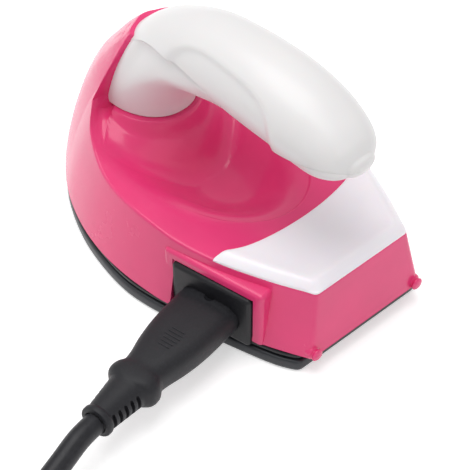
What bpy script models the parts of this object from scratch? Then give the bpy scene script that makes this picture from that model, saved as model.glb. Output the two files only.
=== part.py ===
"""Mini travel iron: a teardrop soleplate under a moulded casing with a finger dish, a hooded nose
that holds a one-ended arched handle, a two-pole inlet on the left side and a cord set that pulls out.
Metres, +Z up, +X to the nose, +Y to the inlet side, origin under the middle of the iron's box.
"""
import math

import bmesh
import bpy
from mathutils import Vector

# Driving dimensions
SOLE_THICKNESS = 0.0032
SOLE_SETBACK = 0.0034
SOLE_PROUD = 0.0005
SHELL_LENGTH = 0.1034
SHELL_HALF_WIDTH = 0.0326
SHELL_BOTTOM = 0.0054
SHELL_WALL = 0.0018
IRON_HEIGHT = 0.0684
WALL_LEAN = 0.0035
HEEL_LEAN = 0.0022
DISH_LENGTH = 0.0340
DISH_HALF_WIDTH = 0.0250
HOOD_WALL = 0.0018
HANDLE_HALF_WIDTH = 0.0118
HANDLE_WALL = 0.0020
PEG_RADIUS = 0.0017
PEG_REACH = 0.0012
INLET_WIDTH = 0.0223
INLET_HEIGHT = 0.0122
INLET_DEPTH = 0.0150
INLET_TURN = math.radians(11)
CORD_DIAMETER = 0.0056

# Clearances and cut overruns
GAP = 0.0003
OVERRUN = 0.0010
SMALL_EDGE = 0.0004

# Casing and handle
NOSE_TAPER = 0.0200
FOOT_HALF_LENGTH = 0.0118
STEM_HALF_WIDTH = 0.0108
LIP_WIDTH = 0.0014
FLANK_WIDTH = 0.0065
HOOD_PROUD = 0.0007
HOOD_FLARE = 0.0010
HOOD_FLARE_HEIGHT = 0.0140
HOOD_LAP = 0.0001
HANDLE_FLOOR = 0.0030
POST_BURY = 0.0010
COVER_WELL = 0.0030
COVER_SCREW_LENGTH = 0.0120
HANDLE_SCREW_Y = 0.0048
PEG_HEIGHT = 0.0064
PEG_ROOT = 0.0030
DISH_ROOM = 0.0013
STEM_BOSS_HEIGHT = 0.0090

# Soleplate, base ring, posts and screws
SOLE_CHAMFER = 0.0006
SOLE_BOSS_RADIUS = 0.0025
SOLE_BOSS_TOP = 0.0058
SCREW_RADIUS = 0.0014
SCREW_HEAD_RADIUS = 0.0026
SCREW_HEAD_HEIGHT = 0.0016
SCREW_CLEARANCE = 0.0002
SOLE_SCREW_END = 0.0014
HEEL_POST_Y = 0.0112
HEEL_POST_TOP = 0.0135
NOSE_POST_TOP = 0.0150
POST_RADIUS = 0.0032
POST_STEP = 0.0001
RIB_WIDTH = 0.0024
RIB_STEP = 0.0014
RING_GROOVE = 0.0014
RING_SETBACK = 0.0004
RING_WINDOW_INSET = 0.0070
HEEL_POST_INSET = 0.0062
RING_FOOT = 0.0006

# Rear cap
CAP_FRONT = 0.0226
CAP_FRONT_BOW = 0.0050
CAP_EDGE = 0.0020
CAP_RIM_RISE = 0.0010
CAP_LEDGE = 0.0016
CAP_LEG_LENGTH = 0.0050
CAP_LEG_WIDTH = 0.0012
CAP_LEG_HEIGHT = 0.0040
CAP_LEG_X = 0.0140
CAP_LEG_Y = 0.0155

# Inlet
BEZEL_WIDTH = 0.0018
BEZEL_STEP = 0.0005
BEZEL_DEPTH = 0.0080
BEZEL_EDGE = 0.0010
INLET_FRONT_ROOM = 0.0040
OPENING_WIDTH = 0.0172
OPENING_HEIGHT = 0.0084
OPENING_DEPTH = 0.0100
SOCKET_DROP = 0.0012
CONNECTOR_CLEARANCE = 0.0003
PIN_SPACING = 0.0086
PIN_RADIUS = 0.0012
PIN_REACH = 0.0085
PIN_TAIL = 0.0040
INLET_EDGE = 0.0007
INLET_INSET = 0.0052

# Heater, thermostat and fuse
HEATER_LENGTH = 0.0440
HEATER_HEIGHT = 0.0022
CLAMP_LENGTH = 0.0560
CLAMP_HEIGHT = 0.0010
CLAMP_SCREW_REACH = 0.0255
TAB_LENGTH = 0.0030
TAB_WIDTH = 0.0026
TAB_HEIGHT = 0.0008
THERMOSTAT_RADIUS = 0.0064
THERMOSTAT_HEIGHT = 0.0070
THERMOSTAT_TAB_REACH = 0.0045
FUSE_LENGTH = 0.0110
FUSE_RADIUS = 0.0017
CLIP_LENGTH = 0.0040
CLIP_WALL = 0.0005
HEATER_CLEARANCE = 0.0005

# Connector
CONNECTOR_LENGTH = 0.0330
CONNECTOR_HEIGHT = 0.0092
RELIEF_LENGTH = 0.0115
RELIEF_COLLAR = 0.0014
SLOT_STEP = 0.0003
RELIEF_WIDTH = 0.0103
RELIEF_END = 0.0078
BORE_DEPTH = 0.0092
CONTACT_WALL = 0.0004
SLOT_WIDTH = 0.0009
SLOT_DEPTH = 0.0022

# Plug
PLUG_LENGTH = 0.0360
PLUG_WIDTH = 0.0260
PLUG_HEIGHT = 0.0135
PLUG_PIN_RADIUS = 0.0020
PLUG_PIN_LENGTH = 0.0190
PLUG_PIN_ROOT = 0.0060
PLUG_PIN_SPACING = 0.0186
PLUG_AXIS_HEIGHT = 0.0070
PLUG_DISTANCE = 0.0575

# Inner leads: their size, their straight ends, and the chosen bends of each as distances along X and Y
# and above the place that the bend is measured from
LEAD_RADIUS = 0.0009
PIN_LEAD_RUN = 0.0030
INLET_LEAD_RUN = 0.0022
TAB_LEAD_RUN = 0.0015
HEATER_LEAD_RUN = 0.0025
LEAD_BEND_A = (0.0012, -0.0020, 0.0037)
LEAD_BEND_B = (-0.0125, 0.0082, 0.0041)
LEAD_BEND_C = (-0.0112, 0.0024, 0.0)
LEAD_BEND_D = (0.0100, 0.0032, 0.0039)
LEAD_BEND_E = (0.0070, 0.0087, 0.0031)
LEAD_BEND_F = (-0.0081, -0.0055, -0.0005)
LEAD_BEND_G = (-0.0113, -0.0025, 0.0)
LEAD_BEND_H = (-0.0091, -0.0002, 0.0)
LEAD_BEND_I = (0.0099, -0.0005, 0.0)
LEAD_BEND_J = (0.0159, -0.0040, -0.0007)
LEAD_BEND_K = (0.0219, -0.0095, -0.0015)
LEAD_BEND_L = (0.0274, -0.0115, 0.0022)
LEAD_BEND_M = (0.0299, -0.0090, 0.0006)
LEAD_BEND_N = (0.0299, 0.0090, 0.0010)
LEAD_BEND_O = (0.0259, 0.0115, 0.0030)
LEAD_BEND_P = (0.0129, 0.0110, -0.0011)
LEAD_BEND_Q = (-0.0011, 0.0090, -0.0001)
LEAD_BEND_R = (0.0137, 0.0072, 0.0033)

# Cord: the coil's size and place, the tie, and the free stretch's chosen points, as distances along X
# and Y from the inlet's face and the height above the surface
COIL_TURN_GAP = 0.00045
COIL_ALONG = 0.0057
COIL_OUT = 0.1226
TIE_WALL = 0.0008
TIE_WIDTH = 0.0060
TIE_ROOM = 0.0005
cord_places = (
    (-0.0110, 0.0556, 0.0088), (-0.0124, 0.0616, 0.0074), (-0.0144, 0.0676, 0.0060),
    (-0.0173, 0.0739, 0.0049), (-0.0211, 0.0802, 0.0043), (-0.0255, 0.0866, 0.00395),
    (-0.0301, 0.0932, 0.0039), (-0.0345, 0.1002, 0.0039), (-0.0380, 0.1078, 0.0039),
    (-0.0401, 0.1158, 0.0039),
)
# The tail's points: the angle round the coil in degrees, the distance from its middle and the height
tail_stations = (
    (51, 0.0440, 0.0100), (44, 0.0457, 0.0097), (37, 0.0475, 0.0091), (30, 0.0494, 0.0084),
    (22, 0.0515, 0.0076), (15, 0.0533, 0.0071), (8.5, 0.0552, 0.0069),
    (2.0, 0.0568, 0.0070),
)

# Shares of the iron's height and of its half width
HEEL_TOP_SHARE = 0.3465
STEM_SEAT_SHARE = 0.4539
DISH_RIM_SHARE = 0.373
PEG_SHARE = 0.526
THERMOSTAT_SHARE = 0.5276
DISH_SLOPE_SHARE = 0.75
CAP_SIDE_SHARE = 0.255
CLAMP_WIDTH_SHARE = 0.6
TAB_SHARE = 0.35
COIL_DIAMETERS = 5.809

# Places that follow from the driving dimensions
SOLE_LENGTH = SHELL_LENGTH + SOLE_PROUD - SOLE_SETBACK
SOLE_HALF_WIDTH = SHELL_HALF_WIDTH + SOLE_PROUD
SOLE_NOSE = SOLE_SETBACK + SOLE_LENGTH
REAR_X = (PEG_REACH - SOLE_NOSE) / 2
HEEL_TOP = IRON_HEIGHT * HEEL_TOP_SHARE
STEM_SEAT = IRON_HEIGHT * STEM_SEAT_SHARE
FUSE_TOP = SOLE_BOSS_TOP + CLAMP_HEIGHT + 2 * (CLIP_WALL + FUSE_RADIUS) + 4 * GAP
DISH_DEPTH = IRON_HEIGHT * DISH_RIM_SHARE - (FUSE_TOP + SHELL_WALL + DISH_ROOM)
INLET_FACE_Y = SHELL_HALF_WIDTH - INLET_INSET
INLET_BACK_Y = INLET_FACE_Y - INLET_DEPTH * math.cos(INLET_TURN) - INLET_WIDTH / 2 * math.sin(INLET_TURN)
HEATER_WIDTH = 2 * (INLET_BACK_Y - HEATER_CLEARANCE)
CLAMP_WIDTH = HEATER_WIDTH * CLAMP_WIDTH_SHARE
TAB_Y = HEATER_WIDTH * TAB_SHARE


def station(share):
    """The X of a place given as a share of the casing's length from its heel."""
    return REAR_X + share * SHELL_LENGTH


# Outlines and sections, in shares of the sizes that they follow
sole_outline_shares = (
    (0.0, 0.604), (0.056, 0.695), (0.165, 0.801), (0.285, 0.903), (0.404, 0.985), (0.503, 1.0),
    (0.623, 0.940), (0.722, 0.843), (0.822, 0.692), (0.901, 0.514), (0.961, 0.329), (0.991, 0.148),
    (1.0, 0.0),
)
shell_outline_shares = (
    (0.0, 0.565), (0.021, 0.598), (0.062, 0.660), (0.124, 0.744), (0.232, 0.866), (0.356, 0.963),
    (0.426, 0.991), (0.503, 1.0), (0.58, 0.982), (0.658, 0.933), (0.735, 0.85), (0.812, 0.73),
    (0.89, 0.552), (0.948, 0.377), (0.988, 0.172), (1.0, 0.0),
)
# Height share of the iron against length share of the casing, along the nose
nose_profile_shares = (
    (0.0, 1.0), (0.079, 1.0), (0.175, 0.992), (0.292, 0.973), (0.439, 0.937), (0.556, 0.895),
    (0.627, 0.859), (0.737, 0.799), (0.826, 0.737), (0.892, 0.679), (1.0, 0.56),
)
# Length share against height share of the casing wall's top edge
crease_shares = (
    (0.0, 0.346), (0.3, 0.351), (0.48, 0.371), (0.6, 0.373), (0.66, 0.382), (0.71, 0.398),
    (0.76, 0.417), (0.80, 0.440), (0.83, 0.470), (0.86, 0.490), (1.0, 0.490),
)
# Inner point, outer point and half width of each handle section, from the stem's foot to the tail
handle_section_shares = (
    (0.633, 0.453, 0.905, 0.453, 0.915), (0.622, 0.526, 0.877, 0.534, 0.915),
    (0.590, 0.614, 0.832, 0.636, 0.915), (0.542, 0.670, 0.770, 0.753, 0.924),
    (0.484, 0.690, 0.688, 0.868, 0.949), (0.426, 0.693, 0.566, 0.959, 0.966),
    (0.358, 0.687, 0.445, 0.993, 0.983), (0.285, 0.684, 0.309, 1.0, 1.0),
    (0.198, 0.680, 0.193, 0.974, 0.966), (0.126, 0.687, 0.106, 0.924, 0.839),
    (0.079, 0.709, 0.061, 0.877, 0.644), (0.050, 0.743, 0.040, 0.830, 0.373),
)
# The hood's back edge, seen from the side
hood_edge_shares = (
    (0.830, 0.380), (0.817, 0.439), (0.806, 0.482), (0.788, 0.567), (0.754, 0.687),
    (0.726, 0.790), (0.707, 0.850), (0.694, 0.885), (0.682, 0.930), (0.670, 1.02),
)
# The seam between grip cover and stem, seen from the side, nose first
seam_shares = (
    (1.064, 0.877), (0.687, 0.867), (0.631, 0.871), (0.574, 0.863), (0.508, 0.827), (0.445, 0.801),
    (0.384, 0.787), (0.290, 0.772), (0.193, 0.775), (0.101, 0.797), (-0.1, 0.819),
)

for old in list(bpy.data.objects):
    bpy.data.objects.remove(old, do_unlink=True)
PARTS = bpy.data.collections.new("mini_steam_iron")
bpy.context.scene.collection.children.link(PARTS)


def material(name, colour, roughness, metallic=0.0):
    made = bpy.data.materials.new(name)
    made.use_nodes = True
    shader = made.node_tree.nodes["Principled BSDF"]
    shader.inputs["Base Color"].default_value = (*colour, 1.0)
    shader.inputs["Roughness"].default_value = roughness
    shader.inputs["Metallic"].default_value = metallic
    return made


PINK = material("pink_gloss", (0.72, 0.05, 0.16), 0.22)
WHITE = material("white_plastic", (0.85, 0.84, 0.83), 0.35)
MILK = material("milky_plastic", (0.78, 0.75, 0.83), 0.30)
BLACK = material("black_plastic", (0.025, 0.025, 0.028), 0.45)
CORD_BLACK = material("black_cord", (0.02, 0.02, 0.022), 0.55)
SOLE_METAL = material("coated_sole", (0.07, 0.08, 0.08), 0.40, 0.6)
STEEL = material("steel", (0.55, 0.55, 0.56), 0.30, 1.0)
BRASS = material("brass", (0.70, 0.50, 0.20), 0.30, 1.0)
CERAMIC = material("ceramic", (0.80, 0.78, 0.72), 0.60)
MICA = material("mica", (0.60, 0.50, 0.35), 0.70)
SLEEVE = material("lead_sleeve", (0.80, 0.80, 0.76), 0.60)


def put(name, mesh, finish):
    """A part from a finished mesh."""
    made = bpy.data.objects.new(name, mesh)
    mesh.materials.clear()
    mesh.materials.append(finish)
    PARTS.objects.link(made)
    return made


def boolean(piece, other, operation="DIFFERENCE"):
    """Cuts or joins and keeps the result in the mesh, so the other piece can go."""
    change = piece.modifiers.new(operation.lower(), "BOOLEAN")
    change.operation = operation
    change.object = other
    change.solver = "EXACT"
    bpy.context.view_layer.update()
    graph = bpy.context.evaluated_depsgraph_get()
    result = bpy.data.meshes.new_from_object(piece.evaluated_get(graph))
    piece.modifiers.clear()
    piece.data = result
    bpy.data.objects.remove(other, do_unlink=True)
    return piece


def mesh_of(name, shape):
    mesh = bpy.data.meshes.new(name)
    shape.to_mesh(mesh)
    shape.free()
    return mesh


def box(name, size, centre, finish, turn=0.0, edge=0.0):
    """A block with its edges rounded, turned about Z at its own centre."""
    shape = bmesh.new()
    bmesh.ops.create_cube(shape, size=1)
    bmesh.ops.scale(shape, vec=Vector(size), verts=shape.verts)
    if edge > 0:
        bmesh.ops.bevel(shape, geom=shape.edges[:], offset=edge, segments=2, profile=0.5,
                        affect="EDGES")
    piece = put(name, mesh_of(name, shape), finish)
    piece.location = centre
    piece.rotation_euler.z = turn
    return piece


def cylinder(name, radius, length, centre, axis, finish, sides=20, far_radius=None):
    """A round bar, or a cone, centred on a point and lying along an axis."""
    shape = bmesh.new()
    bmesh.ops.create_cone(shape, cap_ends=True, segments=sides, radius1=radius,
                          radius2=radius if far_radius is None else far_radius, depth=length)
    turn = Vector(axis).to_track_quat("Z", "Y").to_matrix().to_4x4()
    bmesh.ops.transform(shape, matrix=turn, verts=shape.verts)
    piece = put(name, mesh_of(name, shape), finish)
    piece.location = centre
    return piece


def smooth(value):
    """Eases from 0 to 1."""
    value = min(1.0, max(0.0, value))
    return value * value * (3 - 2 * value)


def read(table, at):
    """Straight reading of a table of pairs."""
    for (x0, y0), (x1, y1) in zip(table, table[1:]):
        if at <= x1:
            return y0 + (y1 - y0) * max(0.0, at - x0) / (x1 - x0)
    return table[-1][1]


def curve_through(points, steps):
    """A smooth line through chosen points, as Catmull-Rom pieces with the given steps each."""
    line = []
    padded = [points[0], *points, points[-1]]
    for a, b, c, d in zip(padded, padded[1:], padded[2:], padded[3:]):
        for step in range(steps):
            t = step / steps
            line.append(b + t * 0.5 * (c - a) + t ** 2 * (a - 2.5 * b + 2 * c - 0.5 * d)
                        + t ** 3 * 0.5 * (3 * b - a - 3 * c + d))
    line.append(points[-1])
    return line


def even_points(line, count):
    """The same line with its points at even spacing."""
    lengths = [0.0]
    for a, b in zip(line, line[1:]):
        lengths.append(lengths[-1] + (b - a).length)
    made = []
    at = 0
    for index in range(count):
        goal = lengths[-1] * index / (count - 1)
        while at < len(line) - 2 and lengths[at + 1] < goal:
            at += 1
        part = (goal - lengths[at]) / (lengths[at + 1] - lengths[at])
        made.append(line[at].lerp(line[at + 1], min(1.0, part)))
    return made


def half_outline(shares, length, half_width, count):
    """Evenly spaced points of the left side of an outline, from its heel corner to its nose."""
    chosen = [Vector((x * length, y * half_width, 0)) for x, y in shares]
    return even_points(curve_through(chosen, SPLINE_STEPS), count)


def whole_ring(left):
    """The left side, then the right side back from the nose, then the heel edge's inner points."""
    right = [Vector((p.x, -p.y, p.z)) for p in reversed(left[:-1])]
    heel = [right[-1].lerp(left[0], step / HEEL_STEPS) for step in range(1, HEEL_STEPS)]
    return left + right + heel


def loft(name, rings, finish):
    """A closed body through rings of the same count of points."""
    shape = bmesh.new()
    made = [[shape.verts.new(point) for point in ring] for ring in rings]
    count = len(made[0])
    for lower, upper in zip(made, made[1:]):
        for index in range(count):
            after = (index + 1) % count
            shape.faces.new((lower[index], lower[after], upper[after], upper[index]))
    shape.faces.new(made[0])
    shape.faces.new(made[-1])
    bmesh.ops.recalc_face_normals(shape, faces=shape.faces)
    return put(name, mesh_of(name, shape), finish)


SPLINE_STEPS = 6
HEEL_STEPS = 6
SIDE_POINTS = 25
sole_side = half_outline(sole_outline_shares, SOLE_LENGTH, SOLE_HALF_WIDTH, SIDE_POINTS)
shell_side = half_outline(shell_outline_shares, SHELL_LENGTH, SHELL_HALF_WIDTH, SIDE_POINTS)
SOLE_MIDDLE = REAR_X + SOLE_SETBACK + SOLE_LENGTH / 2


def sole_ring(z, inset):
    """The soleplate's outline at a height, drawn in from its edge by about the given inset."""
    ring = []
    for p in whole_ring(sole_side):
        x = REAR_X + SOLE_SETBACK + p.x
        x_scale = 1 - 2 * inset / SOLE_LENGTH
        y_scale = 1 - inset / SOLE_HALF_WIDTH
        ring.append(Vector((SOLE_MIDDLE + (x - SOLE_MIDDLE) * x_scale, p.y * y_scale, z)))
    return ring


def sole_plate(name, levels, finish):
    """A plate of the sole's outline from pairs of height and inset."""
    return loft(name, [sole_ring(z, inset) for z, inset in levels], finish)


def wall_point(p, z, inset=0.0):
    """A point of the casing's outer wall over the outline point p, at height z."""
    lean = (z - SHELL_BOTTOM) / (HEEL_TOP - SHELL_BOTTOM)
    rear = REAR_X + HEEL_LEAN * lean + inset
    nose = station(read(nose_profile_shares, z / IRON_HEIGHT)) - inset
    width = abs(p.y)
    drawn = max(0.0, width - (WALL_LEAN * lean + inset) * min(1.0, width / NOSE_TAPER))
    return Vector((rear + (nose - rear) * p.x / SHELL_LENGTH, math.copysign(drawn, p.y), z))


FOOT_MIDDLE = station(0.738)
DISH_MIDDLE = station(0.58)


def plateau(x):
    return IRON_HEIGHT * read(crease_shares, (x - REAR_X) / SHELL_LENGTH)


def top_height(x, y):
    """The height of the casing's top: a flat heel, the finger dish, and the rise to the stem's seat."""
    q = ((x - DISH_MIDDLE) / DISH_LENGTH) ** 2 + (y / DISH_HALF_WIDTH) ** 2
    z = plateau(x) - DISH_DEPTH * smooth(max(0.0, 1 - q) / DISH_SLOPE_SHARE)
    reach = math.hypot((x - FOOT_MIDDLE) / FOOT_HALF_LENGTH, y / STEM_HALF_WIDTH)
    away = (reach - 1) * STEM_HALF_WIDTH
    rise = 1 - smooth((away - LIP_WIDTH) / FLANK_WIDTH)
    return z + (STEM_SEAT - GAP - z) * rise


WALL_STEPS = 5
TOP_STEPS = 13
TOP_CROWDING = 1.5
FOOT_POWER_SHARE = 0.85


def foot_point(angle, grow):
    """A point of the stem seat's outline."""
    c, s = math.cos(angle), math.sin(angle)
    x = math.copysign(abs(c) ** FOOT_POWER_SHARE, c) * (FOOT_HALF_LENGTH + grow)
    y = math.copysign(abs(s) ** FOOT_POWER_SHARE, s) * (STEM_HALF_WIDTH + grow)
    return Vector((FOOT_MIDDLE + x, y, 0))


def casing_rings(inset, floor):
    """Rings of the casing from its bottom edge up the wall and in over the top to the stem's seat."""
    outline = whole_ring(shell_side)
    tops = [IRON_HEIGHT * read(crease_shares, p.x / SHELL_LENGTH) for p in outline]
    if inset > 0:
        tops = [min(top, STEM_SEAT) for top in tops]
    rings = [[wall_point(p, floor, inset) for p in outline]]
    for step in range(1, WALL_STEPS + 1):
        rings.append([
            wall_point(p, SHELL_BOTTOM + (top - inset - SHELL_BOTTOM) * step / WALL_STEPS, inset)
            for p, top in zip(outline, tops)
        ])
    crease = rings[-1]
    feet = []
    for p in crease:
        feet.append(foot_point(math.atan2(p.y, p.x - FOOT_MIDDLE), -inset))
    for step in range(1, TOP_STEPS + 1):
        share = 1 - (1 - step / TOP_STEPS) ** TOP_CROWDING
        ring = []
        for outer, inner in zip(crease, feet):
            x = outer.x + (inner.x - outer.x) * share
            y = outer.y + (inner.y - outer.y) * share
            lift = outer.z + inset - top_height(outer.x, outer.y)
            ring.append(Vector((x, y, top_height(x, y) - inset + lift * (1 - share) ** 2)))
        rings.append(ring)
    return rings


def casing_solid(name, inset, floor):
    return loft(name, casing_rings(inset, floor), PINK)


HOOD_ROOT = STEM_SEAT - SHELL_WALL / 2
HOOD_STEPS = 12
HANDLE_POINTS = 28
HANDLE_ROUND_SHARE = 0.94
HANDLE_STEPS = 2


def handle_sections():
    """The handle's sections with more between them, so that the arch bends smoothly."""
    inner = [Vector(row[:2]).to_3d() for row in handle_section_shares]
    outer = [Vector(row[2:4]).to_3d() for row in handle_section_shares]
    width = [Vector((row[4], 0, 0)) for row in handle_section_shares]
    return zip(*(curve_through(points, HANDLE_STEPS) for points in (inner, outer, width)))


def handle_rings(inset, flare=0.0):
    """Sections of the handle from the stem's foot, over the arch, to the tail."""
    rings = []
    for a, b, width in handle_sections():
        inner = Vector((station(a.x), 0, a.y * IRON_HEIGHT))
        outer = Vector((station(b.x), 0, b.y * IRON_HEIGHT))
        middle = (inner + outer) / 2
        up = (outer - inner) / 2
        rise = (middle.z - STEM_SEAT) / HOOD_FLARE_HEIGHT
        drawn = inset - flare * (1 - smooth(rise))
        up_size = max(up.length - drawn, SMALL_EDGE)
        across = max(width.x * HANDLE_HALF_WIDTH - drawn, SMALL_EDGE)
        ring = []
        for index in range(HANDLE_POINTS):
            angle = math.tau * index / HANDLE_POINTS
            c, s = math.cos(angle), math.sin(angle)
            y = math.copysign(abs(c) ** HANDLE_ROUND_SHARE, c) * across
            ring.append(middle + up.normalized() * up_size * s + Vector((0, y, 0)))
        rings.append(ring)
    return rings


def handle_solid(name, inset, flare=0.0, drop=0.0):
    """The handle drawn in by an inset, its foot lowered by a drop."""
    rings = handle_rings(inset, flare)
    if inset > 0:
        rings = rings[:-HANDLE_STEPS]
    if drop > 0:
        rings.insert(0, [point - Vector((0, 0, drop)) for point in rings[0]])
    return loft(name, rings, WHITE)


def side_block(name, line, reach):
    """A block across the iron: the space between a line seen from the side and a level or a plane
    that lies the given reach away from it."""
    wide = SHELL_HALF_WIDTH
    rings = [
        [p + Vector((0, -wide, 0)), p + Vector((0, wide, 0)), p + reach + Vector((0, wide, 0)),
         p + reach + Vector((0, -wide, 0))]
        for p in line
    ]
    return loft(name, rings, WHITE)


def hood_space(name, back):
    """The space ahead of the hood's edge, moved back by the given clearance."""
    line = [Vector((station(x) - back, 0, z * IRON_HEIGHT)) for x, z in hood_edge_shares]
    return side_block(name, line, Vector((SHELL_LENGTH / 2, 0, 0)))


def hood_solid():
    """The nose wall carried on up round the front of the handle to a tip."""
    outline = whole_ring(shell_side)
    levels = [HOOD_ROOT + (IRON_HEIGHT - HOOD_ROOT) * step / HOOD_STEPS for step in range(HOOD_STEPS)]
    hood = loft("hood", [[wall_point(p, z, -HOOD_LAP) for p in outline] for z in levels], PINK)
    boolean(hood, handle_solid("hood_crown", -HOOD_PROUD, HOOD_FLARE), "UNION")
    return boolean(hood, hood_space("hood_space", 0.0), "INTERSECT")


def seam_space(name, lift):
    """The space above the handle's seam, lifted a little."""
    line = [Vector((station(x), 0, z * IRON_HEIGHT + lift)) for x, z in seam_shares]
    return side_block(name, line, Vector((0, 0, IRON_HEIGHT / 2)))


# Soleplate
HEEL_POST_X = station(0) + HEEL_POST_INSET
NOSE_POST_X = station(0.80)
HEATER_X = station(0.475)
sole_screw_places = (
    ("heel_left", HEEL_POST_X, HEEL_POST_Y, HEEL_POST_TOP),
    ("heel_right", HEEL_POST_X, -HEEL_POST_Y, HEEL_POST_TOP),
    ("nose", NOSE_POST_X, 0.0, NOSE_POST_TOP),
)


def upright(name, radius, low, high, x, y, finish, sides=20):
    return cylinder(name, radius, high - low, (x, y, (low + high) / 2), (0, 0, 1), finish, sides)


soleplate = sole_plate("soleplate", (
    (0.0, SOLE_CHAMFER), (SOLE_CHAMFER, 0.0), (SOLE_THICKNESS - SOLE_CHAMFER, 0.0),
    (SOLE_THICKNESS, SOLE_CHAMFER),
), SOLE_METAL)
for side in (-1, 1):
    boss = upright("boss", SOLE_BOSS_RADIUS, SOLE_THICKNESS - SMALL_EDGE, SOLE_BOSS_TOP,
                   HEATER_X + side * CLAMP_SCREW_REACH, 0.0, SOLE_METAL)
    boolean(soleplate, boss, "UNION")
    hole = upright("hole", SCREW_RADIUS + SCREW_CLEARANCE, SOLE_SCREW_END,
                   SOLE_BOSS_TOP + OVERRUN, HEATER_X + side * CLAMP_SCREW_REACH, 0.0, SOLE_METAL)
    boolean(soleplate, hole)
nose_boss = upright("boss", POST_RADIUS, SOLE_THICKNESS - SMALL_EDGE, SHELL_BOTTOM - GAP, NOSE_POST_X, 0.0,
                    SOLE_METAL)
boolean(soleplate, nose_boss, "UNION")
for place, x, y, top in sole_screw_places:
    hole = upright("hole", SCREW_RADIUS + SCREW_CLEARANCE, SOLE_SCREW_END,
                   SHELL_BOTTOM + OVERRUN, x, y, SOLE_METAL)
    boolean(soleplate, hole)

# Insulating base ring, stepped so that a dark groove shows above the soleplate
RING_LOW = SOLE_THICKNESS + GAP
RING_STEP = RING_LOW + RING_FOOT
RING_TOP = SHELL_BOTTOM - GAP
base_ring = sole_plate("base_ring", (
    (RING_LOW, RING_GROOVE), (RING_STEP, RING_GROOVE), (RING_STEP, RING_SETBACK),
    (RING_TOP, RING_SETBACK),
), BLACK)
window = sole_plate("window", (
    (RING_LOW - OVERRUN, RING_WINDOW_INSET), (RING_TOP + OVERRUN, RING_WINDOW_INSET),
), BLACK)
boolean(base_ring, window)
for place, x, y, top in sole_screw_places:
    hole = upright("hole", SCREW_RADIUS + SCREW_CLEARANCE, RING_LOW - OVERRUN,
                   RING_TOP + OVERRUN, x, y, BLACK)
    boolean(base_ring, hole)

# Casing
casing = casing_solid("body_shell", 0.0, SHELL_BOTTOM)
cavity = casing_solid("cavity", SHELL_WALL, SHELL_BOTTOM - OVERRUN)
boolean(casing, cavity)
boolean(casing, hood_solid(), "UNION")
boolean(casing, handle_solid("hood_inside", HOOD_WALL - HOOD_PROUD))
stem_space = handle_solid("stem_space", -GAP, 0.0, GAP / 2)
boolean(stem_space, hood_space("hood_space", -HOOD_LAP))
boolean(casing, stem_space)

# Posts inside the casing, with their holes
for place, x, y, top in sole_screw_places:
    post_top = top if place != "nose" else STEM_SEAT - SHELL_WALL
    post = upright("post", POST_RADIUS, SHELL_BOTTOM + POST_STEP, post_top, x, y, PINK)
    boolean(casing, post, "UNION")
    if place != "nose":
        rib_length = HEEL_POST_X - REAR_X
        boolean(casing, box("rib", (rib_length, RIB_WIDTH, post_top - SHELL_BOTTOM - RIB_STEP),
                            (HEEL_POST_X - rib_length / 2 + SHELL_WALL / 2, y,
                             (post_top + SHELL_BOTTOM) / 2), PINK), "UNION")
    hole = upright("hole", SCREW_RADIUS + SCREW_CLEARANCE, SHELL_BOTTOM - OVERRUN,
                   STEM_SEAT + OVERRUN, x, y, PINK)
    boolean(casing, hole)
    if place == "nose":
        well = upright("well", SCREW_HEAD_RADIUS + SCREW_CLEARANCE, top, STEM_SEAT + OVERRUN,
                       x, y, PINK)
        boolean(casing, well)

# Pegs on the heel
for side in (-1, 1):
    peg = cylinder("peg", PEG_RADIUS, PEG_REACH + PEG_ROOT,
                   (REAR_X + (PEG_ROOT - PEG_REACH) / 2, side * PEG_SHARE * SHELL_HALF_WIDTH, PEG_HEIGHT),
                   (1, 0, 0), PINK, 16)
    boolean(casing, peg, "UNION")

# Rear cap, in a window of the heel's top
CAP_POINTS = 7


def cap_ring(z, inset):
    """The cap's outline: the heel's top edge, and a hollow front edge along the dish."""
    side = [wall_point(p, HEEL_TOP) for p in shell_side if p.x < CAP_SIDE_SHARE * SHELL_LENGTH]
    left = [Vector((p.x, p.y - inset, z)) for p in side]
    left[0].x += inset
    tip = left[-1]
    front = []
    for index in range(1, CAP_POINTS):
        share = 1 - 2 * index / CAP_POINTS
        x = REAR_X + CAP_FRONT + CAP_FRONT_BOW * share ** 2 - inset
        front.append(Vector((x, tip.y * share, z)))
    right = [Vector((p.x, -p.y, z)) for p in reversed(left)]
    heel = [right[-1].lerp(left[0], step / HEEL_STEPS) for step in range(1, HEEL_STEPS)]
    return left + front + right + heel


cap_window = loft("cap_window", [
    cap_ring(z, CAP_LEDGE) for z in (HEEL_TOP - SHELL_WALL - OVERRUN, HEEL_TOP + OVERRUN * 3)
], PINK)
boolean(casing, cap_window)
CAP_LOW = HEEL_TOP + GAP + SMALL_EDGE
rear_cap = loft("rear_cap", [
    cap_ring(CAP_LOW, 0.0), cap_ring(CAP_LOW + SMALL_EDGE, 0.0),
    cap_ring(CAP_LOW + CAP_RIM_RISE + SMALL_EDGE, CAP_EDGE),
], MILK)
for side in (-1, 1):
    leg = box("leg", (CAP_LEG_LENGTH, CAP_LEG_WIDTH, CAP_LEG_HEIGHT),
              (REAR_X + CAP_LEG_X, side * CAP_LEG_Y, CAP_LOW + SMALL_EDGE / 2 - CAP_LEG_HEIGHT / 2), MILK)
    boolean(rear_cap, leg, "UNION")

# Handle: grip cover above the seam, stem with the underside and the column below it
STEM_BOSS_TOP = STEM_SEAT + STEM_BOSS_HEIGHT
HANDLE_SCREW_X = station(0.70)
cover_screw_shares = (0.20, 0.42)


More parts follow.
